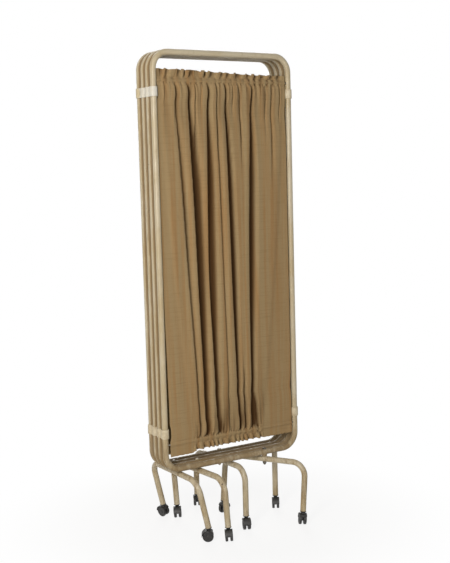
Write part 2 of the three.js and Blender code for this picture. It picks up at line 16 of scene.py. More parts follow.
import bmesh
import bpy
import numpy as np
from bpy.types import Material, Node, NodeSocket, NodeTree, Object
from mathutils import Matrix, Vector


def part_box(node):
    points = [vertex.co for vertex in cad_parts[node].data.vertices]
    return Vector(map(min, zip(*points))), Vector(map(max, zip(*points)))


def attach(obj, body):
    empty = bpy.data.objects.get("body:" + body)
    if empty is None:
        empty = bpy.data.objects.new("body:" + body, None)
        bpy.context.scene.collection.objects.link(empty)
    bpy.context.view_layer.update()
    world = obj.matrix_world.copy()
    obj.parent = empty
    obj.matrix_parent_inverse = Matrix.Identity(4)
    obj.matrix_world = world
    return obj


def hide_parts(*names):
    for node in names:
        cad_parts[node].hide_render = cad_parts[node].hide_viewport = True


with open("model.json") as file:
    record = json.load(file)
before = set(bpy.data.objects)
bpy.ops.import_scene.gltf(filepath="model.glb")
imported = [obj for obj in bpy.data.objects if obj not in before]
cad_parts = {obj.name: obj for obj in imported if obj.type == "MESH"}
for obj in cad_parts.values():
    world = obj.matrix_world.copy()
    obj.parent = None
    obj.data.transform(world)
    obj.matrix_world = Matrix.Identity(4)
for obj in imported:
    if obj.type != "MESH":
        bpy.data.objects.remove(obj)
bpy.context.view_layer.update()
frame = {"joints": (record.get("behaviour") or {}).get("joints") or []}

LOG = logging.getLogger("ward_screen")

MM = 0.001
TURN = 2.0 * np.pi
ALONG = np.array([1.0, 0.0, 0.0])
BACK = np.array([0.0, 1.0, 0.0])
UP = np.array([0.0, 0.0, 1.0])
LEVELS = ("top", "bottom")
PAINTED_SHADE = "kept_colour"  # Vertex attribute: how much painted shade darkens the cloth at each point.
WELD_DISTANCE = 0.002 * MM
SLIVER_LENGTH = 0.001 * MM
WAVE_BANDS = 20.0  # Radians that a wave texture at scale one turns through in one unit.

Array = np.ndarray
Pair = tuple[float, float]
Triple = tuple[float, float, float]
Values = Union[float, Array]
Inputs = Union[list[Any], dict[Union[int, str], Any]]
AddNode = Callable[..., NodeSocket]
Places = tuple[tuple[float, float, float, float], ...]


# ---- Facts taken from the frame ----


def joint(name: str) -> tuple[Array, Array]:
    """Finds a joint.

    Args:
        name: The joint's name in the record.

    Returns:
        Its point and its axis, a unit vector.
    """
    found = next(j for j in frame["joints"] if j["name"] == name)
    axis = np.array(found["axis"], float)
    return np.array(found["pos_m"], float), axis / np.linalg.norm(axis)


def box_middle(node: str) -> Array:
    """Finds the middle of a CAD node's box.

    Args:
        node: The node's name.

    Returns:
        The middle.
    """
    low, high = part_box(node)
    return (np.array(low) + np.array(high)) / 2


def way_between(start: Array, end: Array, axis: Array) -> Array:
    """Finds the direction from one point to another, square to an axis.

    Args:
        start: The first point.
        end: The second point.
        axis: The axis, a unit vector.

    Returns:
        The direction, a unit vector.
    """
    way = end - start - np.dot(end - start, axis) * axis
    return way / np.linalg.norm(way)


# ---- Surfaces worked out on grids ----


class Surface(NamedTuple):
    """Points, faces as index tuples, and for cloth a UV pair and a painted shade for each point."""

    points: Array
    faces: list[tuple[int, ...]]
    uvs: Optional[Array] = None
    painted_shades: Optional[Array] = None


def turned(angle: Array, first: Array, second: Array) -> Array:
    """Turns from one direction to another: cos a times the first plus sin a times the second."""
    return np.cos(angle)[:, None] * first + np.sin(angle)[:, None] * second


def joined(surfaces: list[Surface]) -> Surface:
    """Puts several closed surfaces into one, side by side.

    Args:
        surfaces: The surfaces to gather.

    Returns:
        One surface that holds them all.
    """
    starts = np.cumsum([0] + [len(s.points) for s in surfaces[:-1]])
    faces = [
        tuple(int(start) + index for index in face)
        for start, surface in zip(starts, surfaces)
        for face in surface.faces
    ]
    return Surface(np.concatenate([s.points for s in surfaces]), faces)


def grid_faces(
    rows: int, columns: int, wrap_rows: bool, wrap_columns: bool, capped: bool = False
) -> list[tuple[int, ...]]:
    """Lists the quads between neighbouring rows and columns of a grid of points.

    Args:
        rows: Number of rows of points.
        columns: Number of points in a row.
        wrap_rows: Whether the last row meets the first.
        wrap_columns: Whether the last column meets the first.
        capped: Whether the first and the last row are closed by a face each.

    Returns:
        The faces, as tuples of point indices.
    """
    r = np.arange(rows if wrap_rows else rows - 1)[:, None]
    c = np.arange(columns if wrap_columns else columns - 1)[None, :]
    here, onward, c_next = r * columns, ((r + 1) % rows) * columns, (c + 1) % columns
    corners = [here + c, here + c_next, onward + c_next, onward + c]
    quads = np.stack(np.broadcast_arrays(*corners), -1).reshape(-1, 4)
    faces = [tuple(quad) for quad in quads.tolist()]
    if capped:
        faces.append(tuple(range(columns - 1, -1, -1)))
        faces.append(tuple(range((rows - 1) * columns, rows * columns)))
    return faces


def swept(
    path: Array, tangents: Array, side: Array, radii: Array, sides: int, closed: bool
) -> Surface:
    """Carries a circle along a path that lies in one plane.

    A point is the path's point plus the radius times (cos a times the plane's normal plus
    sin a times the direction square to both the normal and the path). Where the radius is
    nought the surface closes to a pole.

    Args:
        path: Centre points, one row each.
        tangents: The path's direction at each point.
        side: The normal of the path's plane.
        radii: The radius at each point.
        sides: Number of points round the circle.
        closed: Whether the path runs back into its start.

    Returns:
        The tube's surface.
    """
    angle = np.linspace(0.0, TURN, sides, endpoint=False)
    across = np.cross(tangents, side)
    across /= np.linalg.norm(across, axis=1, keepdims=True)
    points = path[:, None, :] + radii[:, None, None] * turned(angle, side, across[:, None, :])
    return Surface(points.reshape(-1, 3), grid_faces(len(path), sides, closed, True))


def revolved(
    profile: Union[Array, list[Pair]],
    origin: Array,
    axis: Array,
    sides: int,
    start: Optional[Array] = None,
    sweep: float = TURN,
) -> Surface:
    """Turns a profile of radius and height about an axis.

    A point is the origin plus height times the axis plus radius times (cos a times the
    start direction plus sin a times the direction square to both). A sweep short of a
    full turn takes a closed profile, and its two ends are closed by a face each.

    Args:
        profile: Rows of radius and height, in millimetres.
        origin: The point on the axis where height is nought.
        axis: Unit vector of the axis.
        sides: Number of steps of the turn.
        start: Direction of the first step, or none for any.
        sweep: Angle turned through.

    Returns:
        The turned surface.
    """
    profile = np.array(profile) * MM
    if start is None:
        start = np.cross(axis, ALONG if abs(axis[0]) < 0.9 else UP)
        start = start / np.linalg.norm(start)
    whole = sweep >= TURN
    angle = np.linspace(0.0, sweep, sides if whole else sides + 1, endpoint=not whole)
    way = turned(angle, start, np.cross(axis, start))
    radius, height = profile[None, :, 0, None], profile[None, :, 1, None]
    points = origin + height * axis + radius * way[:, None, :]
    faces = grid_faces(len(angle), len(profile), whole, not whole, not whole)
    return Surface(points.reshape(-1, 3), faces)


def rounded_section(
    low: Union[Pair, Array], high: Union[Pair, Array], radius: float, steps: int
) -> Array:
    """Walks round a rectangle with rounded corners.

    Each corner is a quarter circle about a centre set in by the radius from both sides.

    Args:
        low: Lowest value of both coordinates.
        high: Highest value of both coordinates, or a stack of them, one for each outline.
        radius: Radius of the corners.
        steps: Number of steps in each corner.

    Returns:
        The closed outline's points, or a stack of outlines.
    """
    corners = np.repeat([(1.0, 1.0), (0.0, 1.0), (0.0, 0.0), (1.0, 0.0)], steps + 1, axis=0)
    turns = np.concatenate([np.linspace(k, k + 1, steps + 1) for k in range(4)]) * np.pi / 2
    low, high = np.array(low) + radius, np.array(high) - radius
    return low + (high - low) * corners + radius * np.stack([np.cos(turns), np.sin(turns)], -1)


def bend(
    centre: Array, radius: float, start: Array, end: Array, steps: int
) -> tuple[Array, Array]:
    """Works out a quarter bend between two square directions.

    A point is the centre plus the radius times (cos a start plus sin a end), and its
    tangent is cos a end minus sin a start.

    Args:
        centre: The bend's centre.
        radius: The bend's radius.
        start: Direction from the centre to the first point.
        end: Direction from the centre to the last point.
        steps: Number of steps.

    Returns:
        The points and their tangents.
    """
    angle = np.linspace(0.0, np.pi / 2, steps + 1)
    return centre + radius * turned(angle, start, end), turned(angle, end, -start)


def smooth(value: Array) -> Array:
    """Eases from nought to one as the value does: three squares less two cubes."""
    held = np.clip(value, 0.0, 1.0)
    return held * held * (3 - 2 * held)


# ---- Finishes ----


def linear(hex_code: str) -> tuple[float, float, float, float]:
    """Turns an sRGB hex value into linear light.

    Args:
        hex_code: Six hex digits.

    Returns:
        Linear red, green, blue and full alpha.
    """
    srgb = np.array([int(hex_code[i : i + 2], 16) for i in (0, 2, 4)]) / 255.0
    light = np.where(srgb <= 0.04045, srgb / 12.92, ((srgb + 0.055) / 1.055) ** 2.4)
    return (float(light[0]), float(light[1]), float(light[2]), 1.0)


def feed(node: Node, inputs: Inputs) -> None:
    """Sets a node's inputs.

    Args:
        node: The node.
        inputs: Values, or output sockets to link: a list in the order of the inputs, with
            none for one left alone, or a mapping from an input's name or index.
    """
    for socket, value in inputs.items() if isinstance(inputs, dict) else enumerate(inputs):
        if isinstance(value, NodeSocket):
            node.id_data.links.new(value, node.inputs[socket])
        elif value is not None:
            node.inputs[socket].default_value = value


def add_node(
    tree: NodeTree, kind: str, inputs: Inputs, output: Union[int, str] = 0, **settings: Any
) -> NodeSocket:
    """Adds a shader node with its settings, values and links.

    Args:
        tree: The node tree.
        kind: The node's type name without the ShaderNode prefix.
        inputs: Values and output sockets for its inputs, as in feed.
        output: Name or index of the output to give back.
        **settings: The node's own properties.

    Returns:
        The output socket.
    """
    node = tree.nodes.new("ShaderNode" + kind)
    for name, value in settings.items():
        setattr(node, name, value)
    feed(node, inputs)
    return node.outputs[output]


def every(size_mm: float) -> float:
    """Gives the texture scale whose features repeat every so many millimetres."""
    return 1.0 / (size_mm * MM)


@dataclass(frozen=True)
class Finish:
    """What every finish shares: a name, a roughness and an empty material to fill."""

    name: str
    roughness: float = 0.5

    def start(self) -> tuple[Material, AddNode, Node]:
        """Makes an empty material with its shader.

        Returns:
            The material, the adder of nodes to its tree and its Principled shader.
        """
        material = bpy.data.materials.new(self.name)
        material.use_nodes = True
        tree = material.node_tree
        shader = tree.nodes["Principled BSDF"]
        feed(shader, {"Roughness": self.roughness})
        return material, partial(add_node, tree), shader

    def material(self) -> Material:
        """Builds the finish's material, which each kind of finish does in its own way."""
        raise NotImplementedError


@dataclass(frozen=True)
class StovedEnamel(Finish):
    """Cream stoving enamel on steel tube, decades old.

    It is glossy but dulled by handling: it yellows unevenly, soils brown low down, is
    painted darker as shade where neighbouring tubes face each other, and chips to dark steel
    where the casters and clips knock it.
    """

    name: str = "stoved_cream_enamel_on_steel"
    roughness: float = 0.3
    grimy_roughness: float = 0.72
    steel_roughness: float = 0.66
    fresh: str = "BCB198"
    yellowed: str = "AD9C79"
    grime_and_shade: str = "735628"
    bare_steel: str = "4A3E31"
    cloud_mm: float = 160.0
    streak_mm: float = 9.0
    chip_mm: float = 3.2
    speckle_mm: float = 11.0
    peel_mm: float = 2.2
    grime_heights: Pair = (0.20, 0.44)
    low_grime: float = 0.12
    shade_between_level: float = 0.4
    chip_level: float = 0.76
    worn_drop: float = 0.15
    worn_places: Places = ()
    tube_rows: tuple[float, ...] = ()

    def shade_between_tubes(self, add: AddNode, depth: NodeSocket) -> NodeSocket:
        """Works out where a folded panel's tube faces its neighbour's, to paint shade there.

        The depth is wrapped by the rows' pitch, which gives the distance from the nearest
        row. The faces more than 6 mm in front of or behind their row face a neighbour,
        other than the first row's front and the last row's back.

        Args:
            add: Adds a node to the material.
            depth: The object's Y coordinate.

        Returns:
            A socket that is one where painted shade darkens the faces turned to a neighbour.
        """
        first, last, pitch = self.tube_rows
        off = add("Math", [depth, first + pitch / 2, first - pitch / 2], operation="WRAP")
        side = add("Math", [off, first], operation="SUBTRACT")
        away = add("Math", [side], operation="ABSOLUTE")
        facing = add("MapRange", [away, 0.006, 0.0095], interpolation_type="SMOOTHSTEP")
        middle = add("Math", [depth, (first + last) / 2], operation="SUBTRACT")
        apart = add("Math", [middle], operation="ABSOLUTE")
        inside = add("Math", [apart, (last - first) / 2 + 0.003], operation="LESS_THAN")
        return add("Math", [facing, inside], operation="MULTIPLY")

    def chips(self, add: AddNode, place: NodeSocket) -> NodeSocket:
        """Works out where the enamel is gone.

        Chips are the peaks of a noise. The height a peak needs falls near each worn place,
        so that they cluster there, and a few stray ones lie anywhere.

        Args:
            add: Adds a node to the material.
            place: The object coordinates.

        Returns:
            A socket that is one on bare steel and nought on enamel.
        """
        peaks = {"Vector": place, "Scale": every(self.chip_mm * 2)}
        peaks |= {"Detail": 5.0, "Roughness": 0.62}
        noise = add("TexNoise", peaks)
        need = add("Value", [])
        need.default_value = self.chip_level
        for x, y, z, reach in self.worn_places:
            gap = add("VectorMath", [place, (x, y, z)], "Value", operation="DISTANCE")
            fall = [gap, 0.0, reach, self.worn_drop, 0.0]
            near = add("MapRange", fall, interpolation_type="SMOOTHSTEP")
            need = add("Math", [need, near], operation="SUBTRACT")
        over = add("Math", [noise, need], operation="SUBTRACT")
        return add("MapRange", [over, 0.0, 0.012])

    def material(self) -> Material:
        """Builds the enamel.

        Returns:
            The material.
        """
        material, add, shader = self.start()
        place = add("TexCoord", [], "Object")
        clouds = {"Vector": place, "Scale": every(self.cloud_mm), "Detail": 4.0, "Roughness": 0.55}
        ageing = add("MapRange", [add("TexNoise", clouds), 0.38, 0.66])
        ages = {0: ageing, 6: linear(self.fresh), 7: linear(self.yellowed)}
        paint = add("Mix", ages, 2, data_type="RGBA")
        upright = add("Mapping", {"Vector": place, "Scale": (1.0, 1.0, 0.16)})
        runs = {"Vector": upright, "Scale": every(self.streak_mm * 2)}
        runs |= {"Detail": 6.0, "Roughness": 0.7}
        streaks = add("TexNoise", runs)
        height = add("SeparateXYZ", [place], "Z")
        low_down = add("MapRange", [height, *self.grime_heights, self.low_grime, 0.0])
        dirt_and_shade_level = add("Math", [streaks, low_down], operation="ADD")
        # Painted shade: the faces of folded tubes turned to a neighbour are darkened with the brown
        # colour.
        if self.tube_rows:
            shaded_faces = self.shade_between_tubes(add, add("SeparateXYZ", [place], "Y"))
            shade_inputs = [shaded_faces, self.shade_between_level, dirt_and_shade_level]
            dirt_and_shade_level = add("Math", shade_inputs, operation="MULTIPLY_ADD")
        band = [dirt_and_shade_level, 0.52, 0.84, 0.0, 0.7]
        dirt_and_shade = add("MapRange", band, interpolation_type="SMOOTHSTEP")
        dirty_and_shaded = add("Mix", {0: dirt_and_shade, 6: paint, 7: linear(self.grime_and_shade)}, 2, data_type="RGBA")
        cells = {"Vector": place, "Scale": every(self.speckle_mm), "Randomness": 1.0}
        speckle = add("TexVoronoi", cells, "Distance")
        pin = add("MapRange", [speckle, 0.055, 0.09, 0.55, 0.0])
        picked = add("Math", [streaks, 0.62], operation="GREATER_THAN")
        pins = add("Math", [pin, picked], operation="MULTIPLY")
        pinned = add("Mix", {0: pins, 6: dirty_and_shaded, 7: linear(self.grime_and_shade)}, 2, data_type="RGBA")
        bare = self.chips(add, place)
        chipped = {0: bare, 6: pinned, 7: linear(self.bare_steel)}
        coloured = add("Mix", chipped, 2, data_type="RGBA")
        rough_paint = add("MapRange", [dirt_and_shade, 0.0, 0.62, self.roughness, self.grimy_roughness])
        rough = add("Mix", {0: bare, 2: rough_paint, 3: self.steel_roughness})
        orange = {"Vector": place, "Scale": every(self.peel_mm * 2), "Detail": 2.0}
        peel = add("TexNoise", orange)
        step = add("Math", [bare, -1.4], operation="MULTIPLY")
        relief = add("Math", [peel, 0.22, step], operation="MULTIPLY_ADD")
        bump = add("Bump", {"Strength": 0.35, "Distance": 0.25 * MM, "Height": relief})
        feed(shader, {"Base Color": coloured, "Roughness": rough, "Normal": bump})
        feed(shader, {"IOR": 1.5, "Specular IOR Level": 0.4})
        return material


@dataclass(frozen=True)
class PlainWeaveCotton(Finish):
    """Heavy plain-woven tan cotton.

    It gives a matt, slightly fuzzy look with thread bars both ways, slubs where a yarn
    runs thick, and warmer lengthways streaks where light has faded it unevenly. Deep in
    the folds and creases it is painted a dark brown as shade, by a share stored on each
    point. Real threads are about 0.5 mm apart, drawn here at 2.2 mm so that they show.
    """

    name: str = "plain_weave_tan_cotton"
    roughness: float = 0.88
    cloth: str = "9E8864"
    warm: str = "9B7950"
    deep: str = "715B3B"
    painted_shade_brown: str = "402811"
    thread_mm: float = 2.2
    slub_mm: float = 22.0
    streak_mm: float = 26.0

    def material(self) -> Material:
        """Builds the cloth from its own UV map, which is laid out in metres.

        Returns:
            The material.
        """
        material, add, shader = self.start()
        flat = add("UVMap", [], uv_map="cloth")
        spacing = every(self.thread_mm) * TURN / WAVE_BANDS
        threads = {"Vector": flat, "Scale": spacing, "Distortion": 0.5}
        threads |= {"Detail": 1.0, "Detail Scale": 1.2}
        warp, weft = (add("TexWave", threads, "Fac", bands_direction=way) for way in "XY")
        weave = add("Math", [warp, weft], operation="MULTIPLY")
        across = add("Mapping", {"Vector": flat, "Scale": (0.05, 1.0, 1.0)})
        slubs = {"Vector": across, "Scale": every(self.slub_mm) * 5, "Detail": 3.0}
        weft_slubs = add("TexNoise", slubs)
        down = add("Mapping", {"Vector": flat, "Scale": (1.0, 0.035, 1.0)})
        bands = {"Vector": down, "Scale": every(self.streak_mm), "Detail": 5.0, "Roughness": 0.6}
        fading = add("MapRange", [add("TexNoise", bands), 0.44, 0.64, 0.0, 0.9])
        streaked = {0: fading, 6: linear(self.cloth), 7: linear(self.warm)}
        tone = add("Mix", streaked, 2, data_type="RGBA")
        slub_mask = add("MapRange", [weft_slubs, 0.5, 0.8, 0.0, 0.3])
        gap = add("MapRange", [weave, 0.0, 0.3, 0.28, 0.0])
        # Painted shade: a per-point share darkens the cloth to a dark brown deep in the folds,
        # creases and stitching.
        shade_amount = add("Attribute", [], "Fac", attribute_name=PAINTED_SHADE, attribute_type="GEOMETRY")
        for mask, colour in ((slub_mask, self.deep), (gap, self.deep), (shade_amount, self.painted_shade_brown)):
            tone = add("Mix", {0: mask, 6: tone, 7: linear(colour)}, 2, data_type="RGBA")
        relief = add("Math", [weft_slubs, 0.35, weave], operation="MULTIPLY_ADD")
        bump = add("Bump", {"Strength": 0.5, "Distance": 0.3 * MM, "Height": relief})
        feed(shader, {"Base Color": tone, "Normal": bump, "Specular IOR Level": 0.04})
        feed(shader, {"Sheen Weight": 0.05, "Sheen Roughness": 0.5})
        return material


@dataclass(frozen=True)
class MouldedNylon(Finish):
    """Injection-moulded nylon: an even colour with a fine eggshell grain, stained and dusty
    in patches, and rubbed a little smoother where it is handled or rolls."""

    name: str = "moulded_nylon"
    roughness: float = 0.5
    colour: str = "CDCABF"
    stain: str = "B9AA8B"
    stain_share: float = 0.5
    stain_mm: float = 24.0
    tint: str = "BCAB86"
    tint_share: float = 0.85
    tinted_places: Places = ()
    grain_mm: float = 0.8

    def material(self) -> Material:
        """Builds the nylon.

        Returns:
            The material.
        """
        material, add, shader = self.start()
        place = add("TexCoord", [], "Object")
        stains = {"Vector": place, "Scale": every(self.stain_mm), "Detail": 6.0, "Roughness": 0.65}
        patches = add("TexNoise", stains)
        mask = add("MapRange", [patches, 0.4, 0.72, 0.0, self.stain_share])
        colours = {0: mask, 6: linear(self.colour), 7: linear(self.stain)}
        tone = add("Mix", colours, 2, data_type="RGBA")
        # A darker, yellower tint near each given point.
        for x, y, z, reach in self.tinted_places:
            gap = add("VectorMath", [place, (x, y, z)], "Value", operation="DISTANCE")
            edge = [gap, reach * 0.8, reach, self.tint_share, 0.0]
            near = add("MapRange", edge, interpolation_type="SMOOTHSTEP")
            tone = add("Mix", {0: near, 6: tone, 7: linear(self.tint)}, 2, data_type="RGBA")
        wear = [patches, 0.0, 1.0, self.roughness - 0.08, self.roughness + 0.18]
        eggshell = {"Vector": place, "Scale": every(self.grain_mm * 2), "Detail": 2.0}
        grain = add("TexNoise", eggshell)
        relief = add("Bump", {"Strength": 0.2, "Distance": 0.12 * MM, "Height": grain})
        feed(shader, {"Base Color": tone, "Roughness": add("MapRange", wear)})
        feed(shader, {"Normal": relief, "IOR": 1.53})
        return material


@dataclass(frozen=True)
class DullSteel(Finish):
    """Plated or drawn steel gone dull: metal with fine turning or drawing lines and brown
    tarnish in patches that takes the shine off."""

    name: str = "dulled_steel"
    roughness: float = 0.38
    tarnished_roughness: float = 0.75
    metal: str = "9C978C"
    tarnish: str = "5B4C3A"
    tarnish_share: float = 0.6
    patch_mm: float = 7.0
    line_mm: float = 0.6

    def material(self) -> Material:
        """Builds the steel.

        Returns:
            The material.
        """
        material, add, shader = self.start()
        place = add("TexCoord", [], "Object")
        spots = {"Vector": place, "Scale": every(self.patch_mm * 2)}
        spots |= {"Detail": 6.0, "Roughness": 0.7}
        patches = add("TexNoise", spots)
        mask = add("MapRange", [patches, 0.42, 0.7, 0.0, self.tarnish_share])
        colours = {0: mask, 6: linear(self.metal), 7: linear(self.tarnish)}
        tone = add("Mix", colours, 2, data_type="RGBA")
        rough = add("MapRange", [mask, 0.0, 1.0, self.roughness, self.tarnished_roughness])
        lines = add("TexNoise", {"Vector": place, "Scale": every(self.line_mm * 2), "Detail": 1.0})
        relief = add("Bump", {"Strength": 0.2, "Distance": 0.1 * MM, "Height": lines})
        feed(shader, {"Base Color": tone, "Roughness": rough, "Normal": relief, "Metallic": 1.0})
        return material


# Where the enamel is chipped most, or the nylon tinted darker and yellower: a point and a reach, in
# metres.
WORN_FRAMES: Places = (
    (0.284, -0.0629, 0.56, 0.06),
    (0.290, -0.0629, 0.44, 0.07),
    (-0.289, -0.0289, 1.36, 0.10),
    (-0.289, 0.0051, 1.20, 0.06),
    (-0.289, 0.0391, 1.28, 0.06),
    (0.150, -0.0629, 0.265, 0.05),
)
WORN_FEET: Places = (
    (0.205, -0.235, 0.11, 0.07),
    (-0.128, -0.19, 0.21, 0.04),
    (-0.222, 0.03, 0.245, 0.05),
    (0.236, 0.0051, 0.09, 0.04),
)
CLIP_TINT_SPOT: Places = ((-0.289, 0.0391, 1.62, 0.024),)
TUBE_ROWS = (-0.0629, 0.0391, 0.034)  # Depth of the first and last panels, and their pitch.


class Coat(Enum):
    """Each finish in use, paired with the name of a material slot in the record."""

    FRAME_ENAMEL = (
        StovedEnamel(
            "stoved_cream_enamel_frames",
            worn_places=WORN_FRAMES,
            tube_rows=TUBE_ROWS,
            low_grime=0.36,
        ),
        "frame_paint",
    )
    FEET_ENAMEL = StovedEnamel("stoved_cream_enamel_feet", worn_places=WORN_FEET), "frame_paint"
    COTTON = PlainWeaveCotton(), "curtain_cloth"
    WHITE_NYLON = MouldedNylon("white_nylon", tinted_places=CLIP_TINT_SPOT), "clip_plastic"
    YELLOW_NYLON = (
        MouldedNylon("yellowed_nylon", colour="C9BDA2", stain="9C8660", stain_share=0.75),
        "clip_plastic",
    )
    EYELET = MouldedNylon("dark_eyelet", 0.6, colour="2E2822", stain="54493A"), "clip_plastic"
    BLACK_NYLON = (
        MouldedNylon(
            "black_nylon_housing", 0.48, "191918", "3A3732", stain_share=0.55, stain_mm=14.0
        ),
        "caster_plastic",
    )
    BLACK_TREAD = (
        MouldedNylon("black_nylon_tread", 0.42, "141414", "403C37", stain_share=0.6, stain_mm=8.0),
        "wheel_plastic",
    )
    BOLT_STEEL = (
        DullSteel("tarnished_zinc_bolt_steel", metal="6E695F", tarnish="3E352B"),
        "bolt_steel",
    )
    ROD_STEEL = DullSteel("drawn_rod_steel", 0.3, metal="B8B2A6", tarnish_share=0.35), "rod_wire"


@lru_cache(maxsize=None)
def material_of(finish: Finish) -> Material:
    """Builds a finish's material at its first use, and gives the same one after that."""
    return finish.material()


# ---- Pieces ----


def make_piece(
    name: str,
    surface: Surface,
    body: str,
    coat: Coat,
    node: Optional[str],
    smooth_angle: float = 40.0,
) -> Object:
    """Makes a named object of a closed surface, facing outwards, and rides it on its body.

    Args:
        name: The piece's name.
        surface: Its surface.
        body: The CAD body that it moves with.
        coat: Its finish and material slot.
        node: The CAD node that it replaces, or none.
        smooth_angle: Edges flatter than this many degrees are shaded smooth.

    Returns:
        The new object.
    """
    finish, slot = coat.value
    mesh = bpy.data.meshes.new(name)
    mesh.from_pydata(surface.points.tolist(), [], surface.faces)
    # Cloth carries a per-point share of painted shade, which its material reads.
    if surface.painted_shades is not None:
        shade_amount = mesh.attributes.new(PAINTED_SHADE, "FLOAT", "POINT")
        shade_amount.data.foreach_set("value", surface.painted_shades.astype(np.float32))
    if surface.uvs is not None:
        layer = mesh.uv_layers.new(name="cloth")
        loops = np.empty(len(mesh.loops), np.int32)
        mesh.loops.foreach_get("vertex_index", loops)
        layer.data.foreach_set("uv", surface.uvs[loops].astype(np.float32).ravel())
    work = bmesh.new()
    work.from_mesh(mesh)
    bmesh.ops.remove_doubles(work, verts=work.verts, dist=WELD_DISTANCE)
    bmesh.ops.dissolve_degenerate(work, edges=work.edges, dist=SLIVER_LENGTH)
    bmesh.ops.recalc_face_normals(work, faces=work.faces)
    sharp = float(np.radians(smooth_angle))
    for edge in work.edges:
        edge.smooth = len(edge.link_faces) != 2 or edge.calc_face_angle(0.0) < sharp
    for face in work.faces:
        face.smooth = True
    work.to_mesh(mesh)
    work.free()
    mesh.materials.append(material_of(finish))
    made = bpy.data.objects.new(name, mesh)
    bpy.context.scene.collection.objects.link(made)
    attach(made, body)
    if node is not None:
        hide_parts(node)
    LOG.info("%s: %d faces on %s", name, len(mesh.polygons), body)
    return made


# ---- Tubular pieces ----


@dataclass(frozen=True)
class Tube:
    """The 22 mm tube that frames and feet are bent from, and where the rails run."""

    radius: float = 11.0
    wall: float = 1.9
    rail_height: float = 258.0
    sides: int = 40
    bend_steps: int = 20


TUBE = Tube()


@dataclass
class PanelFrame:
    """One panel's frame: a closed loop of tube, the boss its foot bears on, and two rods."""

    number: int
    width: float = 578.0
    height: float = 1500.0
    corner_radius: float = 60.0
    straight_steps: int = 30
    boss_radius: float = 10.0
    boss_fillet: float = 2.2
    boss_foot: float = -17.0
    rod_radius: float = 2.2
    rod_ease: float = 0.4
    eyelet_radius: float = 4.2
    eyelet_rise: float = 0.5
    eyelet_depth: float = 2.4

    def origin(self) -> Array:
        """Finds the middle of the left upright, at floor level.

        Returns:
            The point.
        """
        middle = box_middle(f"rod_top_{self.number}")
        return np.array([middle[0] - self.width * MM / 2, middle[1], 0.0])

    def loop(self) -> tuple[Array, Array]:
        """Works out the loop's centre line: four quarter bends joined by straights.

        Returns:
            Points and tangents.
        """
        radius = self.corner_radius
        near, far = radius, self.width - radius
        low, high = TUBE.rail_height + radius, TUBE.rail_height + self.height - radius
        corners = [
            (near, low, -ALONG, -UP),
            (far, low, -UP, ALONG),
            (far, high, ALONG, UP),
            (near, high, UP, -ALONG),
        ]
        origin, steps = self.origin(), TUBE.bend_steps
        bends = [
            bend(origin + np.array([x, 0.0, z]) * MM, radius * MM, start, end, steps)
            for x, z, start, end in corners
        ]
        share = np.linspace(0.0, 1.0, self.straight_steps + 1)[1:-1, None]
        points, tangents = [], []
        for index, (place, way) in enumerate(bends):
            onward = bends[(index + 1) % len(bends)][0][0]
            points += [place, place[-1] + share * (onward - place[-1])]
            tangents += [way, np.repeat(way[-1:], len(share), axis=0)]
        return np.concatenate(points), np.concatenate(tangents)

    def boss(self, bolt: Array) -> Surface:
        """Makes the boss under the rail, a short cylinder with eased lower edges.

        Args:
            bolt: The bolt's place on the rail's centre line.

        Returns:
            The boss's surface.
        """
        edge, ease, low, tube = self.boss_radius, self.boss_fillet, self.boss_foot, TUBE.radius
        profile = [(0.0, low), (edge - ease, low), (edge - ease * 0.3, low + ease * 0.3)]
        profile += [(edge, low + ease), (edge, ease - tube), (edge + ease, -tube * 0.5)]
        profile += [(edge - ease, 0.0), (0.0, 0.0)]
        return revolved(profile, bolt, UP, TUBE.sides)

    def rod(self, level: str) -> None:
        """Makes one curtain rod and the dark eyelets at its ends.

        Args:
            level: Top or bottom.
        """
        node, body = f"rod_{level}_{self.number}", f"panel_{self.number}"
        low, high = (np.array(corner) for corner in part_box(node))
        middle = (low + high) / 2
        length, radius, ease = (high[0] - low[0]) / MM, self.rod_radius, self.rod_ease
        bar = [(0.0, 0.0), (radius - ease, 0.0), (radius, ease)]
        bar += [(radius, length - ease), (radius - ease, length), (0.0, length)]
        shape = revolved(bar, np.array([low[0], middle[1], middle[2]]), ALONG, 20)
        make_piece(f"curtain_rod_{level}_{self.number}", shape, body, Coat.ROD_STEEL, node)
        flare, skin = self.eyelet_radius, TUBE.radius
        inner, inside, top = radius + 0.1, skin - self.eyelet_depth, skin + self.eyelet_rise
        ring = [(inner, inside), (flare - 0.8, inside), (flare, skin - 0.9), (flare, top - 0.3)]
        ring += [(flare - 0.5, top), (radius + 0.6, top), (inner, top - 0.5), (inner, inside)]
        height = np.array([0.0, 0.0, middle[2]])
        eyelets = [
            revolved(ring, self.origin() + ALONG * place * MM + height, way, 24)
            for place, way in ((0.0, ALONG), (self.width, -ALONG))
        ]
        make_piece(f"rod_eyelets_{level}_{self.number}", joined(eyelets), body, Coat.EYELET, None)

    def build(self) -> None:
        """Makes the frame, its two rods and the dark eyelets they pass through."""
        points, tangents = self.loop()
        radii = np.full(len(points), TUBE.radius * MM)
        bolt = joint(f"foot_{self.number}_swivel")[0]
        bolt[2] = TUBE.rail_height * MM
        shape = joined([swept(points, tangents, BACK, radii, TUBE.sides, True), self.boss(bolt)])
        name, body = f"tube_frame_{self.number}", f"panel_{self.number}"
        make_piece(name, shape, body, Coat.FRAME_ENAMEL, f"frame_{self.number}")
        for level in LEVELS:
            self.rod(level)


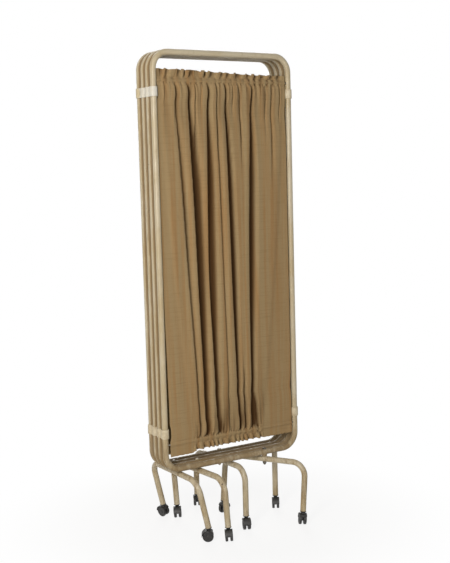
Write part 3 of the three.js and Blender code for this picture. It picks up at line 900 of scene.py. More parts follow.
@dataclass
class ArchFoot:
    """A bent-tube foot with two legs, turning on a bolt under its rail."""

    number: int
    half_span: float = 170.0
    bend_radius: float = 52.0
    drop: float = 28.0
    bore_depth: float = 27.0
    lip: float = 0.5
    straight_steps: int = 13
    seat_gap: float = 0.3
    shank_radius: float = 4.0
    head_radius: float = 8.0
    head_height: float = 4.5
    head_edge: float = 0.8
    washer_radius: float = 7.9
    washer_height: float = 1.2
    nut_radius: float = 7.0
    nut_height: float = 5.8
    nut_bevel: float = 0.7
    dome_radius: float = 5.2
    bare_bolt: int = 1

    def build(self) -> None:
        """Makes the arch, hollow at its leg ends, and the bolt with its washer and nut."""
        middle = joint(f"foot_{self.number}_swivel")[0]
        front, up = joint(f"caster_{self.number}_front_swivel")
        rear = joint(f"caster_{self.number}_rear_swivel")[0]
        along = way_between(front, rear, up)
        turn, reach = self.bend_radius * MM, (self.half_span - self.bend_radius) * MM
        near, far = middle - along * reach - up * turn, middle + along * reach - up * turn
        first, first_way = bend(near, turn, -along, up, TUBE.bend_steps)
        last, last_way = bend(far, turn, up, along, TUBE.bend_steps)
        shares = np.linspace(0.0, 1.0, self.straight_steps + 1)[1:-1, None]
        mouth = np.array([self.bore_depth, self.bore_depth, 0.0, 0.0, self.lip])[:, None] * MM
        legs_and_bar = [
            front + up * mouth,
            front + shares * (first[0] - front),
            first,
            first[-1] + shares * (last[0] - first[-1]),
            last,
            last[-1] + shares * (rear - last[-1]),
            rear + up * mouth[::-1],
        ]
        path = np.concatenate(legs_and_bar)
        leg = len(mouth) + len(shares)
        ways = [
            np.tile(up, (leg, 1)),
            first_way,
            np.tile(along, (len(shares), 1)),
            last_way,
            np.tile(-up, (leg, 1)),
        ]
        radius, bore = TUBE.radius * MM, (TUBE.radius - TUBE.wall) * MM
        open_end = [0.0, bore, bore, radius - self.lip * MM, radius]
        plain = np.full(len(path) - 2 * len(open_end), radius)
        radii = np.concatenate([open_end, plain, open_end[::-1]])
        arch = swept(path, np.concatenate(ways), np.cross(along, up), radii, TUBE.sides, False)
        name, body = f"bent_foot_{self.number}", f"foot_{self.number}"
        make_piece(name, arch, body, Coat.FEET_ENAMEL, f"arch_foot_{self.number}")
        self.bolt(middle + UP * self.drop * MM)

    def bolt(self, rail: Array) -> None:
        """Makes the bolt: a mushroom head, shank, washer, hexagon nut and its domed cap.

        Args:
            rail: Where the bolt crosses the rail's centre line.
        """
        seat = TUBE.radius + self.seat_gap
        under = -self.drop - seat
        foot = under - self.washer_height - self.nut_height
        turn = np.linspace(0.0, np.pi / 2, 9)
        rise = (self.head_height - self.head_edge) * np.sin(turn)
        core = np.concatenate([
            np.stack([self.dome_radius * np.sin(turn), foot - self.dome_radius * np.cos(turn)], -1),
            [(self.shank_radius, foot), (self.shank_radius, seat), (self.head_radius, seat)],
            np.stack([self.head_radius * np.cos(turn), seat + self.head_edge + rise], -1),
        ])
        ring = (self.shank_radius, under - self.washer_height), (self.washer_radius, under)
        washer = rounded_section(*ring, 0.3, 2)
        corner, bevel, top = self.nut_radius, self.nut_bevel, foot + self.nut_height
        nut = [(0.0, foot), (corner - bevel * 1.6, foot), (corner, foot + bevel)]
        nut += [(corner, top - bevel), (corner - bevel, top), (0.0, top)]
        profiles = ((core, 28), (np.concatenate([washer, washer[:1]]), 28), (nut, 6))
        shape = joined([revolved(profile, rail, UP, sides) for profile, sides in profiles])
        coat = Coat.BOLT_STEEL if self.number == self.bare_bolt else Coat.FEET_ENAMEL
        name, body = f"bolt_and_nut_{self.number}", f"panel_{self.number}"
        make_piece(name, shape, body, coat, f"foot_bolt_{self.number}")


@dataclass
class PropLeg:
    """The straight leg welded under the third panel's rail."""

    bore_depth: float = 27.0
    lip: float = 0.5
    weld_rise: float = 1.6

    def build(self) -> None:
        """Makes the leg as a revolved tube, with a weld bead where it meets the rail."""
        foot = joint("caster_prop_swivel")[0]
        top = TUBE.rail_height - foot[2] / MM
        radius, bore = TUBE.radius, TUBE.radius - TUBE.wall
        bead, swell = top - radius, radius + self.weld_rise
        depth, lip = self.bore_depth, self.lip
        profile = [(0.0, depth), (bore, depth), (bore, 0.0), (radius - lip, 0.0), (radius, lip)]
        profile += [(radius, bead * 0.33), (radius, bead * 0.66), (radius, bead - 6.0)]
        profile += [(radius + 0.4, bead - 3.0), (swell, bead - 0.5), (swell, bead + 1.0)]
        profile += [(radius, bead + 3.5), (radius - 3.0, top - 3.0), (0.0, top - 2.0)]
        shape = revolved(profile, foot, UP, TUBE.sides)
        make_piece("welded_prop_leg", shape, "panel_3", Coat.FEET_ENAMEL, "prop_leg")


# ---- Clips and collars ----


@dataclass
class NylonClips:
    """Figure-eight clips that hinge neighbouring uprights, and plain collars."""

    bore_radius: float = 11.3
    wall: float = 2.8
    height: float = 34.0
    waist: float = 9.0
    edge: float = 0.9
    edge_steps: int = 4
    fillet: float = 2.5
    turn_steps: int = 72
    smooth_angle: float = 30.0

    def collar(self, centre: Array, towards: Optional[Array], spacing: float) -> Surface:
        """Makes one collar, with half of the waist that joins it to its neighbour.

        The outer radius in a direction is the collar's own, except towards the neighbour,
        where it is the distance to the waist's side or to the plane midway between the
        two uprights, eased into the collar by a smooth maximum.

        Args:
            centre: The collar's middle.
            towards: Direction to the neighbouring upright, or none for a plain collar.
            spacing: Distance between the two uprights, in millimetres.

        Returns:
            The collar's surface.
        """
        tiny = 1e-6
        angle = np.linspace(0.0, TURN, self.turn_steps, endpoint=False)
        outer = np.full(self.turn_steps, self.bore_radius + self.wall)
        first = ALONG if towards is None else towards
        if towards is not None:
            midway = spacing / 2 / np.maximum(np.cos(angle), tiny)
            beside = self.waist / np.maximum(np.abs(np.sin(angle)), tiny)
            to_waist = np.where(np.cos(angle) > 0, np.minimum(midway, beside), 0.0)
            swell = np.maximum(self.fillet - np.abs(outer - to_waist), 0.0) ** 2 / (4 * self.fillet)
            plain = to_waist < midway - tiny
            eased = np.where(plain | (to_waist < outer), swell, 0.0) * 0.5
            outer = np.maximum(outer, to_waist) + eased
        half = self.height / 2
        high = np.stack([outer, np.full(self.turn_steps, half)], -1)[:, None, :]
        section = rounded_section((self.bore_radius, -half), high, self.edge, self.edge_steps)
        way = turned(angle, first, np.cross(UP, first))
        points = centre + (section[..., :1] * way[:, None, :] + section[..., 1:] * UP) * MM
        return Surface(points.reshape(-1, 3), grid_faces(*section.shape[:2], True, True))

    def build(self) -> None:
        """Makes three pairs of clips, each two collars face to face, and two end collars."""
        spacing = abs(joint("panel_2_turn")[0][1] - joint("link_12_turn")[0][1]) / MM
        offset = BACK * spacing / 2 * MM
        for link in ("12", "23", "34"):
            for level, coat in zip(LEVELS, (Coat.WHITE_NYLON, Coat.YELLOW_NYLON)):
                node = f"hinge_clip_{level}_{link}"
                middle = box_middle(node)
                sides = ((middle - offset, BACK), (middle + offset, -BACK))
                halves = [self.collar(centre, way, spacing) for centre, way in sides]
                name, body = f"figure_eight_clip_{level}_{link}", f"link_{link}"
                make_piece(name, joined(halves), body, coat, node, self.smooth_angle)
        for level in LEVELS:
            name, node = f"plain_collar_{level}", f"end_collar_{level}"
            shape = self.collar(box_middle(node), None, 0.0)
            make_piece(name, shape, "panel_1", Coat.YELLOW_NYLON, node, self.smooth_angle)


# ---- Casters ----


@dataclass
class TwinWheelCaster:
    """A twin-wheel caster: ferrule in the leg, hooded housing on a stem, and two wheels."""

    label: str
    rim_radius: float = 12.0
    rim_height: float = 1.6
    neck_radius: float = 7.0
    ferrule_depth: float = 6.5
    plug_radius: float = 8.8
    plug_length: float = 22.0
    seat_gap: float = 0.3
    stem_radius: float = 4.0
    stem_rise: float = 18.0
    wheel_radius: float = 20.5
    wheel_width: float = 10.0
    wheel_gap: float = 8.0
    crown: float = 0.45
    hood_gap: float = 1.6
    hood_wall: float = 1.6
    hood_overhang: float = 0.6
    hood_start: float = 8.0
    hood_end: float = 150.0
    shoulder: float = 1.7
    web_half: float = 3.2
    boss_radius: float = 7.0

    def __post_init__(self) -> None:
        """Reads the stance from the joints: the leg's end, the way up it, the axle's middle
        and direction, and the way in which the wheels trail."""
        self.end, self.up = joint(f"caster_{self.label}_swivel")
        self.axle, self.across = joint(f"wheels_{self.label}_spin")
        self.trail = way_between(self.end, self.axle, self.up)

    def ferrule(self) -> Surface:
        """Makes the ferrule: a plug up the leg, a rim against its end, and a cup that
        narrows to the neck in a quarter wave.

        Returns:
            The ferrule's surface.
        """
        bore, top, foot = self.stem_radius + self.seat_gap, -self.seat_gap, -self.ferrule_depth
        rim, plug, length = self.rim_radius, self.plug_radius, self.plug_length
        share = np.linspace(0.0, 1.0, 8)
        narrowing = rim + (self.neck_radius - rim) * np.sin(share * np.pi / 2)
        cup = np.stack([narrowing, np.linspace(top - self.rim_height, foot, 8)], -1)
        profile = np.concatenate([
            [(bore, foot)],
            cup[::-1],
            [(rim, top - 0.3), (rim - 0.4, top), (plug, top)],
            [(plug, length - 1.0), (plug - 1.0, length), (bore, length), (bore, foot)],
        ])
        return revolved(profile, self.end, self.up, 32)

    def hood(self) -> Surface:
        """Makes the hood: an arched wall over both wheels, its shoulders rounded.

        The wall's section runs across the caster, straight in the middle and falling to
        each side in a quarter ellipse, and is turned about the axle.

        Returns:
            The hood's surface.
        """
        half = self.wheel_gap / 2 + self.wheel_width + self.hood_overhang
        inner = self.wheel_radius + self.hood_gap
        rise, run = self.hood_wall * 0.8, self.shoulder
        shelf, angle = inner + self.hood_wall - rise, np.linspace(0.0, np.pi / 2, 7)
        right = np.stack([shelf + rise * np.sin(angle), half - run + run * np.cos(angle)], -1)
        left = right[::-1] * np.array([1.0, -1.0])
        profile = np.concatenate([right, left, [(inner, -half), (inner, half)]])
        begin, finish = np.radians(self.hood_start), np.radians(self.hood_end)
        start = np.cos(begin) * self.trail + np.sin(begin) * self.up
        facing = np.dot(np.cross(self.across, self.trail), self.up) > 0
        axis = self.across if facing else -self.across
        return revolved(profile, self.axle, axis, 40, start, finish - begin)

    def web(self) -> Surface:
        """Makes the web between the wheels, a slab whose outline follows the hood above
        and the axle's boss below.

        Returns:
            The web's surface.
        """
        outer = self.wheel_radius + self.hood_gap + self.hood_wall * 0.6
        above = np.radians(np.linspace(self.hood_start, self.hood_end, 25))
        below = np.radians(np.linspace(self.hood_end + 45.0, 360.0 + self.hood_start, 15))
        arcs = ((outer, above), (self.boss_radius, below))
        outline = np.concatenate([size * np.stack([np.cos(a), np.sin(a)], -1) for size, a in arcs])
        flat = outline[:, :1] * self.trail + outline[:, 1:] * self.up
        layers = [(-1.0, 0.94), (-0.8, 1.0), (0.8, 1.0), (1.0, 0.94)]
        rows = [
            self.axle + flat * scale * MM + self.across * side * self.web_half * MM
            for side, scale in layers
        ]
        faces = grid_faces(len(layers), len(outline), False, True, True)
        return Surface(np.concatenate(rows), faces)

    def stem(self) -> Surface:
        """Makes the stem and the neck that carries the hood.

        Returns:
            The stem's surface.
        """
        base, neck = -self.ferrule_depth - self.seat_gap, self.neck_radius + 0.5
        pin, top = self.stem_radius, self.stem_rise
        profile = [(0.0, base - 2.6), (neck + 0.4, base - 2.6), (neck, base - 0.8)]
        profile += [(neck - 0.8, base), (pin, base), (pin, top - 1.0), (pin - 1.0, top), (0.0, top)]
        return revolved(profile, self.end, self.up, 28)

    def wheels(self) -> Surface:
        """Makes both wheels and their axle: a crowned tread, a raised outer ring, a dished
        face and a small hub cap, mirrored about the middle.

        Returns:
            The wheels' surface.
        """
        radius, inner = self.wheel_radius, self.wheel_gap / 2
        outer = inner + self.wheel_width
        share = np.linspace(0.0, 1.0, 9)
        tread = radius - self.crown * (2 * share - 1) ** 2
        half = np.concatenate([
            [(2.5, 0.0), (2.5, inner), (radius - 1.6, inner)],
            np.stack([tread, inner + 1.0 + (self.wheel_width - 2.4) * share], -1),
            [(radius - 1.2, outer - 0.4), (radius - 2.4, outer), (radius - 4.4, outer)],
            [(radius - 5.2, outer - 1.3), (10.5, outer - 1.6), (6.4, outer - 1.5)],
            [(6.0, outer - 0.5), (5.2, outer - 0.1), (2.4, outer), (0.0, outer)],
        ])
        profile = np.concatenate([(half * np.array([1.0, -1.0]))[::-1], half[1:]])
        return revolved(profile, self.axle, self.across, 56)

    def build(self) -> None:
        """Makes the caster's three pieces."""
        label = self.label
        carrier = "panel_3" if label == "prop" else f"foot_{label[0]}"
        housing = joined([self.hood(), self.web(), self.stem()])
        pieces = [
            ("ferrule", self.ferrule(), carrier, Coat.BLACK_NYLON, "leg_ferrule"),
            ("hooded_housing", housing, f"caster_{label}", Coat.BLACK_NYLON, "caster_housing"),
            ("twin_wheels", self.wheels(), f"wheels_{label}", Coat.BLACK_TREAD, "wheel_pair"),
        ]
        for name, shape, body, coat, node in pieces:
            make_piece(f"{name}_{label}", shape, body, coat, f"{node}_{label}")


# ---- Curtains ----


def bell(value: Array, width: float, power: float = 2.0) -> Array:
    """Falls from one at nought: e to the minus (value over width) to the power."""
    return np.exp(-((value / width) ** power))


class Draw(IntEnum):
    """Seeds of the random numbers, one for each thing that is drawn."""

    BROAD_WAVES = 1
    TOP_PLEATS = 2
    BOTTOM_PLEATS = 3
    TEETH = 4
    TOP_FRILL = 10
    BOTTOM_FRILL = 20
    FOLDS = 40


class Fold(NamedTuple):
    """One deep fold: where its ridge runs near the top rod, half way and near the bottom rod,
    as shares of the curtain's width, then its depth, the widths of its floor and of its
    slope back and the lean of its ridge in millimetres, and how far down the drop it
    starts and ends, as shares."""

    top: float
    middle: float
    bottom: float
    depth: float
    floor: float
    back: float
    lean: float
    starts: float = 0.0
    ends: float = 1.0

    def ridge(self, down: Array) -> Array:
        """Gives the ridge's place, on a parabola through the three places.

        Args:
            down: Place down the curtain, as a share.

        Returns:
            The place across, as a share.
        """
        ends = self.top * (1 - down) * (1 - 2 * down) + self.bottom * down * (2 * down - 1)
        return ends + 4 * self.middle * down * (1 - down)

    def window(self, down: Array) -> Array:
        """Says how open the fold is.

        Args:
            down: Place down the curtain, as a share.

        Returns:
            One between its start and end, eased to nought beyond them.
        """
        opening = smooth((down - self.starts + 0.015) / 0.05)
        return opening * smooth((self.ends - down + 0.015) / 0.12) if self.ends < 1 else opening


FRONT_FOLDS = tuple(
    Fold(*row)
    for row in (
        (0.044, 0.050, 0.055, 11, 3, 12, 1.5, 0, 0.06),
        (0.118, 0.184, 0.229, 13, 8, 28, 2.5),
        (0.120, 0.130, 0.140, 8, 4, 12, 1, 0, 0.16),
        (0.211, 0.250, 0.269, 22, 25, 36, 6),
        (0.272, 0.292, 0.300, 15, 4, 12, 2, 0, 0.2),
        (0.317, 0.325, 0.330, 12, 2, 11, 2, 0, 0.08),
        (0.367, 0.345, 0.368, 20, 24, 28, 5),
        (0.432, 0.456, 0.466, 10, 5, 22, 2.5),
        (0.434, 0.444, 0.456, 16, 6, 12, 2, 0, 0.2),
        (0.500, 0.519, 0.540, 22, 20, 18, 5),
        (0.564, 0.572, 0.580, 13, 3, 13, 2, 0, 0.10),
        (0.614, 0.645, 0.650, 14, 4, 18, 2, 0, 0.22),
        (0.712, 0.664, 0.652, 21, 22, 26, 5),
        (0.765, 0.760, 0.755, 9, 4, 20, 1, 0, 0.06),
        (0.830, 0.824, 0.820, 13, 3, 16, 1.5, 0, 0.14),
        (0.876, 0.870, 0.860, 10, 4, 22, 1.5, 0, 0.28),
        (0.948, 0.942, 0.936, 12, 3, 14, 1.5, 0, 0.13),
        (0.596, 0.594, 0.598, 14, 6, 16, 1, 0.82, 1),
        (0.640, 0.642, 0.644, 9, 3, 12, 1, 0.9, 1),
        (0.694, 0.695, 0.698, 9, 4, 12, 1, 0.9, 1),
    )
)


class Gather(NamedTuple):
    """How the cloth is drawn up on a rod: the least and greatest spacing, depth and length
    of its pleats, in millimetres, the wavelength, height and scallop of its frill's
    ruffles, and the share of the pleats' depth left to the front curtain, whose folds are
    set one by one."""

    spacing: Pair
    depth: Pair
    length: Pair
    ruffle: float
    ruffle_height: float
    scallop: float
    front_share: float


@dataclass
class Curtain:
    """One gathered curtain on two rods. It is worked out in millimetres from the left
    upright's middle: x across, y away from the viewer and z up."""

    number: int
    columns: int = 380
    rows: tuple[int, ...] = (14, 14, 26, 20, 26, 14, 14)
    left: float = 11.6
    left_low: float = 20.5
    right: float = 562.0
    right_tuck: float = 4.5
    clip_room: float = 4.4
    clip_reach: float = 26.0
    clip_to_rod: float = 40.0
    frill_top: float = 40.0
    frill_bottom: float = 36.0
    top_slope: float = 13.0
    corner_drop: float = 8.0
    hem_drop: float = 2.0
    cloth: float = 0.9
    hem: float = 0.3
    rod_swell: float = 3.9
    swell_reach: float = 6.8
    casing_half: float = 9.0
    gather_depth: float = 150.0
    wall: float = 3.4
    roll: float = 0.12
    belly: float = 5.5
    broad_wave: float = 2.4
    front_broad_wave: float = 1.2
    fullness: float = 1.45
    front_limit: float = 12.0
    back_limit: float = 17.0
    # Painted shade: the cloth's colour darkens with its depth behind the rods, from a start depth
    # over a given depth, up to a given share.
    shade_start: float = 0.5
    shade_depth: float = 13.0
    deepest_shade: float = 0.94
    crimp: float = 3.4
    tooth_lengths: Pair = (15.0, 31.0)
    broad_lengths: Pair = (50.0, 110.0)
    broad_sway: float = 16.0
    fold_clearance: float = 5.0
    fold_growth: float = 11.0
    frill_start: float = 4.0
    left_pull: float = 3.5
    right_pull: float = 3.0
    crease_shade: float = 0.16
    top_gather: Gather = Gather((13.0, 24.0), (4.0, 9.0), (35.0, 130.0), 37.0, 13.0, 3.0, 0.8)
    bottom_gather: Gather = Gather((8.0, 15.0), (5.0, 9.5), (25.0, 95.0), 23.0, 10.0, 3.2, 0.95)

    def random(self, seed: int) -> np.random.Generator:
        """Gives this curtain's own seeded random numbers."""
        return np.random.default_rng(seed + 100 * self.number)

    def width(self) -> float:
        """Gives the width between the curtain's edges at the top."""
        return self.right - self.left

    def folds(self) -> tuple[Fold, ...]:
        """Lists the folds: the photographed ones in front, seeded ones on the others.

        Returns:
            The curtain's folds.
        """
        if self.number == 1:
            return FRONT_FOLDS
        random, count = self.random(Draw.FOLDS), 8
        places = np.linspace(0.1, 0.86, count) + random.uniform(-0.03, 0.03, count)
        drift = random.uniform(-0.04, 0.04, count)
        ranges = ((8, 17), (3, 10), (20, 34), (0, 5))
        sizes = [random.uniform(low, high, count) for low, high in ranges]
        rows = zip(places, places + drift * 0.6, places + drift, *sizes)
        return tuple(Fold(*row) for row in rows)

    def waves(
        self, across: Array, down: Values, count: int, lengths: Pair, sway: float, seed: int
    ) -> Array:
        """Adds up sine waves of random wavelength that wander sideways on the way down.

        Args:
            across: Place across the curtain, in millimetres.
            down: Place down it, as a share.
            count: Number of waves.
            lengths: Shortest and longest wavelength, in millimetres.
            sway: How far each wave wanders, in millimetres.
            seed: Seed of the random numbers.

        Returns:
            The sum, scaled to about one at its highest.
        """
        random = self.random(seed)
        total = np.zeros(np.broadcast(across, down).shape)
        for _ in range(count):
            length, phase = random.uniform(*lengths), random.uniform(0, TURN)
            drift = sway * np.sin(TURN * down * random.uniform(0.3, 1.1) + random.uniform(0, TURN))
            total += np.sin(TURN * (across + drift) / length + phase)
        return total / np.sqrt(count) / 1.5

    def valley(self, off: Array, wall: Values, floor: Values, back: Values) -> Array:
        """Gives a fold's section: a steep wall behind its ridge, a floor and a slope back.

        Args:
            off: Distance to the right of the ridge, in millimetres.
            wall: Width of the steep wall.
            floor: Width of the floor.
            back: Width of the slope back.

        Returns:
            Nought outside the fold and one on its floor.
        """
        return smooth(off / wall + 0.5) * (1 - smooth((off - wall / 2 - floor) / back))

    def fold_field(self, x: Array, down: Array) -> tuple[Array, Array]:
        """Adds up the deep folds.

        A fold is narrow by the rods and broad between them. Its ridge rolls forward by a
        bell curve on its left and leans over the valley on its right.

        Args:
            x: Place across, in millimetres.
            down: Place down, as a share.

        Returns:
            The push away from the viewer and the sideways shift, in millimetres.
        """
        push = np.zeros(np.broadcast(x, down).shape)
        shift = np.zeros_like(push)
        opening, closing = smooth((down - 0.04) / 0.26), smooth((down - 0.5) / 0.35)
        floor_share = 0.42 + 0.58 * opening * (1 - 0.5 * closing)
        back_share = 0.55 + 0.45 * opening * (1 - 0.7 * closing)
        for fold in self.folds():
            off = x - fold.ridge(down) * self.width()
            dip = self.valley(off, self.wall, fold.floor * floor_share, fold.back * back_share)
            window = fold.window(down)
            push += fold.depth * window * (dip - self.roll * bell(off + 9.0, 7.0))
            shift += fold.lean * window * bell(off + 1.0, 4.5)
        return push, shift

    def pleat_field(self, x: Array, near: Array, gather: Gather, seed: int) -> Array:
        """Adds up the short pleats below or above a rod.

        Each is a small fold that widens and fades, by a falling exponential, with the
        distance from the rod.

        Args:
            x: Place across, in millimetres.
            near: Distance from the rod, in millimetres.
            gather: How the cloth is drawn up.
            seed: Seed of the random numbers.

        Returns:
            The push away from the viewer, in millimetres.
        """
        random = self.random(seed)
        push = np.zeros(np.broadcast(x, near).shape)
        place, broad, power = random.uniform(4.0, 12.0), 1.0 + near * 0.022, 1.4
        while place < self.width():
            depth, length = random.uniform(*gather.depth), random.uniform(*gather.length)
            off = x - place - random.uniform(-0.07, 0.07) * near
            dip = self.valley(off, 3.0 * broad, 1.0, 8.5 * broad)
            push += depth * bell(near, length, power) * dip
            place += random.uniform(*gather.spacing)
        share = gather.front_share if self.number == 1 else 1.0
        usual = 0.45 * np.mean(gather.depth) * bell(near, np.mean(gather.length), power)
        return share * (push - usual)

    def gathered(self, share: Array, down: Array) -> Array:
        """Says how gathered the cloth is, falling to nought in the flat selvedges.

        Args:
            share: Place across, as a share of the width.
            down: Place down, as a share of the drop.

        Returns:
            One where it is gathered and nought where it is flat.
        """
        left, right = (0.012 + widest * down**1.5 for widest in (0.16, 0.225))
        return smooth((share - left) / 0.035) * smooth((1 - share - right) / 0.035)

    def levels(self, rod_top: float, rod_bottom: float) -> Array:
        """Spaces the rows: close in the frills, casings and gathers, wide in between.

        Args:
            rod_top: Height of the top rod.
            rod_bottom: Height of the bottom rod.

        Returns:
            The rows' heights from the top down.
        """
        casing, gather = self.casing_half * 1.4, self.gather_depth
        stops = [rod_top + off for off in (self.frill_top, casing, -casing, -gather)]
        stops += [rod_bottom + off for off in (gather, casing, -casing, -self.frill_bottom)]
        spans = zip(stops, stops[1:], self.rows)
        parts = [np.linspace(start, end, count, endpoint=False) for start, end, count in spans]
        return np.concatenate([*parts, [stops[-1]]])

    def frill(self, x: Array, out: Array, gather: Gather, seed: int) -> tuple[Array, Array, Array]:
        """Shapes a frill: its cloth swings from side to side as it goes across.

        The push is a sine of a phase that wanders, and a sideways shift by the sine of
        twice that phase rounds the swings into loops. Both grow away from the casing.

        Args:
            x: Place across, in millimetres.
            out: Nought at the casing and one at the frill's edge.
            gather: How the cloth is drawn up.
            seed: Seed of the random numbers.

        Returns:
            The push, the sideways shift and the rise, in millimetres.
        """
        wander = self.waves(x, 0.0, 4, (70.0, 180.0), 0.0, seed)
        uneven = self.waves(x, 0.0, 3, (50.0, 120.0), 0.0, seed + 1)
        crinkle = self.waves(x, 0.0, 4, (9.0, 16.0), 0.0, seed + 2)
        nicks = self.waves(x, 0.0, 5, (24.0, 70.0), 0.0, seed + 3)
        phase = TURN * (x / gather.ruffle + 0.45 * wander)
        height = gather.ruffle_height * (0.85 + 0.35 * uneven) * out**0.8
        push = height * np.sin(phase) + 1.5 * out * crinkle
        rise = gather.scallop * out * (0.75 * np.sin(phase + 0.9) + 0.45 * nicks)
        return push, -0.42 * height * np.sin(2 * phase), rise

    def tone(self, y: Array, out: Array, stitch_shade: Array) -> Array:
        """Says how much painted shade darkens the cloth, from how deep it lies.

        Args:
            y: Distance behind the rods, in millimetres, as that face sees it.
            out: Nought at the casings and one at the frills' edges, where light gets in.
            stitch_shade: How deep the stitching pinches the cloth on that face, up to one, with the
                pleats' creases; both darken it as painted shade.

        Returns:
            Nought on the ridges and one at the bottom of the folds, where the painted shade is
            darkest, in a flat list.
        """
        deep = smooth((y - self.shade_start) / self.shade_depth) * (1 - 0.25 * out)
        shade_amount = np.clip(deep + 0.75 * np.clip(stitch_shade, 0.0, 1.0), 0.0, 1.0)
        return (self.deepest_shade * shade_amount).ravel()

    def edges(self, z: Array, down: Array, rods: Pair) -> tuple[Array, Array]:
        """Works out where the two selvedges run.

        The left one swings out lower down and makes room for the hinge clips, the right
        one is tucked in behind the collars.

        Args:
            z: Height, in millimetres.
            down: Place down, as a share.
            rods: Heights of the top and the bottom rod.

        Returns:
            The left and the right edge's places across, in millimetres.
        """
        left = self.left + (self.left_low - self.left) * smooth((down - 0.5) / 0.45)
        for clip in (rods[0] - self.clip_to_rod, rods[1] + self.clip_to_rod):
            left = left + self.clip_room * bell(z - clip, self.clip_reach, 4)
        tuck = self.right_tuck * (bell(down - 0.09, 0.03) + 1.3 * bell(down - 0.882, 0.02))
        return left, self.right - tuck

    def shape(self) -> tuple[Array, ...]:
        """Works out the middle surface of the cloth and its half thickness.

        The push is the deep folds, broad waves in mid drop, the short pleats by each rod,
        the teeth of the stitching and the ruffles of the frills. It fades out at the
        selvedges, and a hyperbolic tangent keeps it within its limits.

        Returns:
            Grids of x, y, z and half thickness, of how far out in a frill a point is, and
            of how deep the stitching and the pleats crease it, for the painted shade.
        """
        nodes = [f"rod_{level}_{self.number}" for level in LEVELS]
        rod_top, rod_bottom = (box_middle(node)[2] / MM for node in nodes)
        level = self.levels(rod_top, rod_bottom)[:, None]
        share = np.linspace(0.0, 1.0, self.columns)[None, :]
        down = np.clip((rod_top - level) / (rod_top - rod_bottom), 0.0, 1.0)
        flat_x, gathered = share * self.width(), self.gathered(share, down)
        above, below = np.maximum(level - rod_top, 0.0), np.maximum(rod_bottom - level, 0.0)
        frills = [
            np.clip((past - self.casing_half) / (height - self.casing_half), 0.0, 1.0)
            for past, height in ((above, self.frill_top), (below, self.frill_bottom))
        ]
        near_top, near_bottom = np.abs(level - rod_top), np.abs(level - rod_bottom)
        near = np.minimum(near_top, near_bottom)
        body = 1 - np.clip((above + below) / self.frill_start, 0.0, 1.0)
        held = smooth((near - self.fold_clearance) / self.fold_growth)

        push, shift = self.fold_field(flat_x, down)
        broad = self.waves(
            flat_x, down, 6, self.broad_lengths, self.broad_sway, Draw.BROAD_WAVES
        )
        broad *= self.front_broad_wave if self.number == 1 else self.broad_wave
        pleats = self.pleat_field(flat_x, near_top, self.top_gather, Draw.TOP_PLEATS)
        pleats += self.pleat_field(flat_x, near_bottom, self.bottom_gather, Draw.BOTTOM_PLEATS)
        pleats *= smooth((near - 2.0) / 7.0) * gathered * body
        teeth = self.waves(flat_x, 0.0, 5, self.tooth_lengths, 0.0, Draw.TEETH)
        stitched = bell(near - self.casing_half * 0.8, 8.0) * gathered
        y = (push * gathered + (broad - self.belly) * (0.4 + 0.6 * gathered)) * held * body
        y += pleats + teeth * self.crimp * stitched
        shift, z = shift * held * gathered * body, level
        ruffles = (
            (self.top_gather, Draw.TOP_FRILL, 1.0),
            (self.bottom_gather, Draw.BOTTOM_FRILL, -1.0),
        )
        for out, (gather, seed, sign) in zip(frills, ruffles):
            swing, slide, rise = self.frill(flat_x, out, gather, seed)
            y += swing * gathered
            shift += slide * gathered
            z = z + sign * rise * (0.2 + 0.8 * gathered)

        out_top, out_bottom = frills
        inner_left = 1 - smooth((share - 0.4) / 0.1)
        hang = self.corner_drop * inner_left + self.hem_drop
        z = z - self.top_slope * out_top * smooth(share * 1.1) - hang * out_bottom * (1 - gathered)
        fade = smooth(share * 55) * smooth((1 - share) * 20)
        left, right = self.edges(level, down, (rod_top, rod_bottom))
        x = left + (flat_x + shift * fade) * (right - left) / self.width()
        pull = self.left_pull * (1 - smooth((down - 0.4) / 0.5)) * (share < 0.5)
        y = y * fade - (pull + self.right_pull * (share > 0.5)) * (1 - fade) * held
        back, front = self.back_limit, self.front_limit
        middle, reach = (back - front) / 2, (back + front) / 2
        y = middle + reach * np.tanh((y - middle) / reach)
        snug = 1 + 0.28 * np.clip(teeth, -1.0, 1.0) * gathered
        half = self.cloth / 2 + self.rod_swell * snug * bell(near, self.swell_reach)
        out = out_top + out_bottom
        return x, y, z, half + self.hem * out, out, teeth * stitched + self.crease_shade * pleats

    def build(self) -> None:
        """The shell's two faces lie half a thickness each side of the middle surface, along
        its normal taken from the differences between neighbouring grid points.
        """
        x, y, z, half, out, stitch_shade = np.broadcast_arrays(*self.shape())
        middle = np.stack([x, y, z], -1) * MM
        ways = np.cross(np.gradient(middle, axis=1), np.gradient(middle, axis=0))
        ways *= half[..., None] * MM / np.linalg.norm(ways, axis=2, keepdims=True)
        rows, columns = half.shape
        count = rows * columns
        upright = ("link_12_turn", "panel_2_turn", "link_34_turn", "panel_4_turn")[self.number - 1]
        origin = joint(upright)[0] * np.array([1.0, 1.0, 0.0])
        points = [(middle + origin + ways * side).reshape(-1, 3) for side in (1.0, -1.0)]
        first = grid_faces(rows, columns, False, False)
        second = [tuple(count + index for index in face[::-1]) for face in first]
        around = np.concatenate([
            np.arange(columns),
            np.arange(2, rows + 1) * columns - 1,
            (rows - 1) * columns + np.arange(columns - 2, -1, -1),
            np.arange(rows - 2, 0, -1) * columns,
        ])
        onward = np.roll(around, -1)
        rim = np.stack([around, around + count, onward + count, onward], -1)
        faces = first + second + [tuple(quad) for quad in rim.tolist()]
        lengths = np.linalg.norm(np.diff(middle, axis=1), axis=2).mean(0)
        along = np.concatenate([[0.0], np.cumsum(lengths)])
        uvs = np.stack(np.broadcast_arrays(along[None, :], middle[:, :1, 2]), -1).reshape(-1, 2)
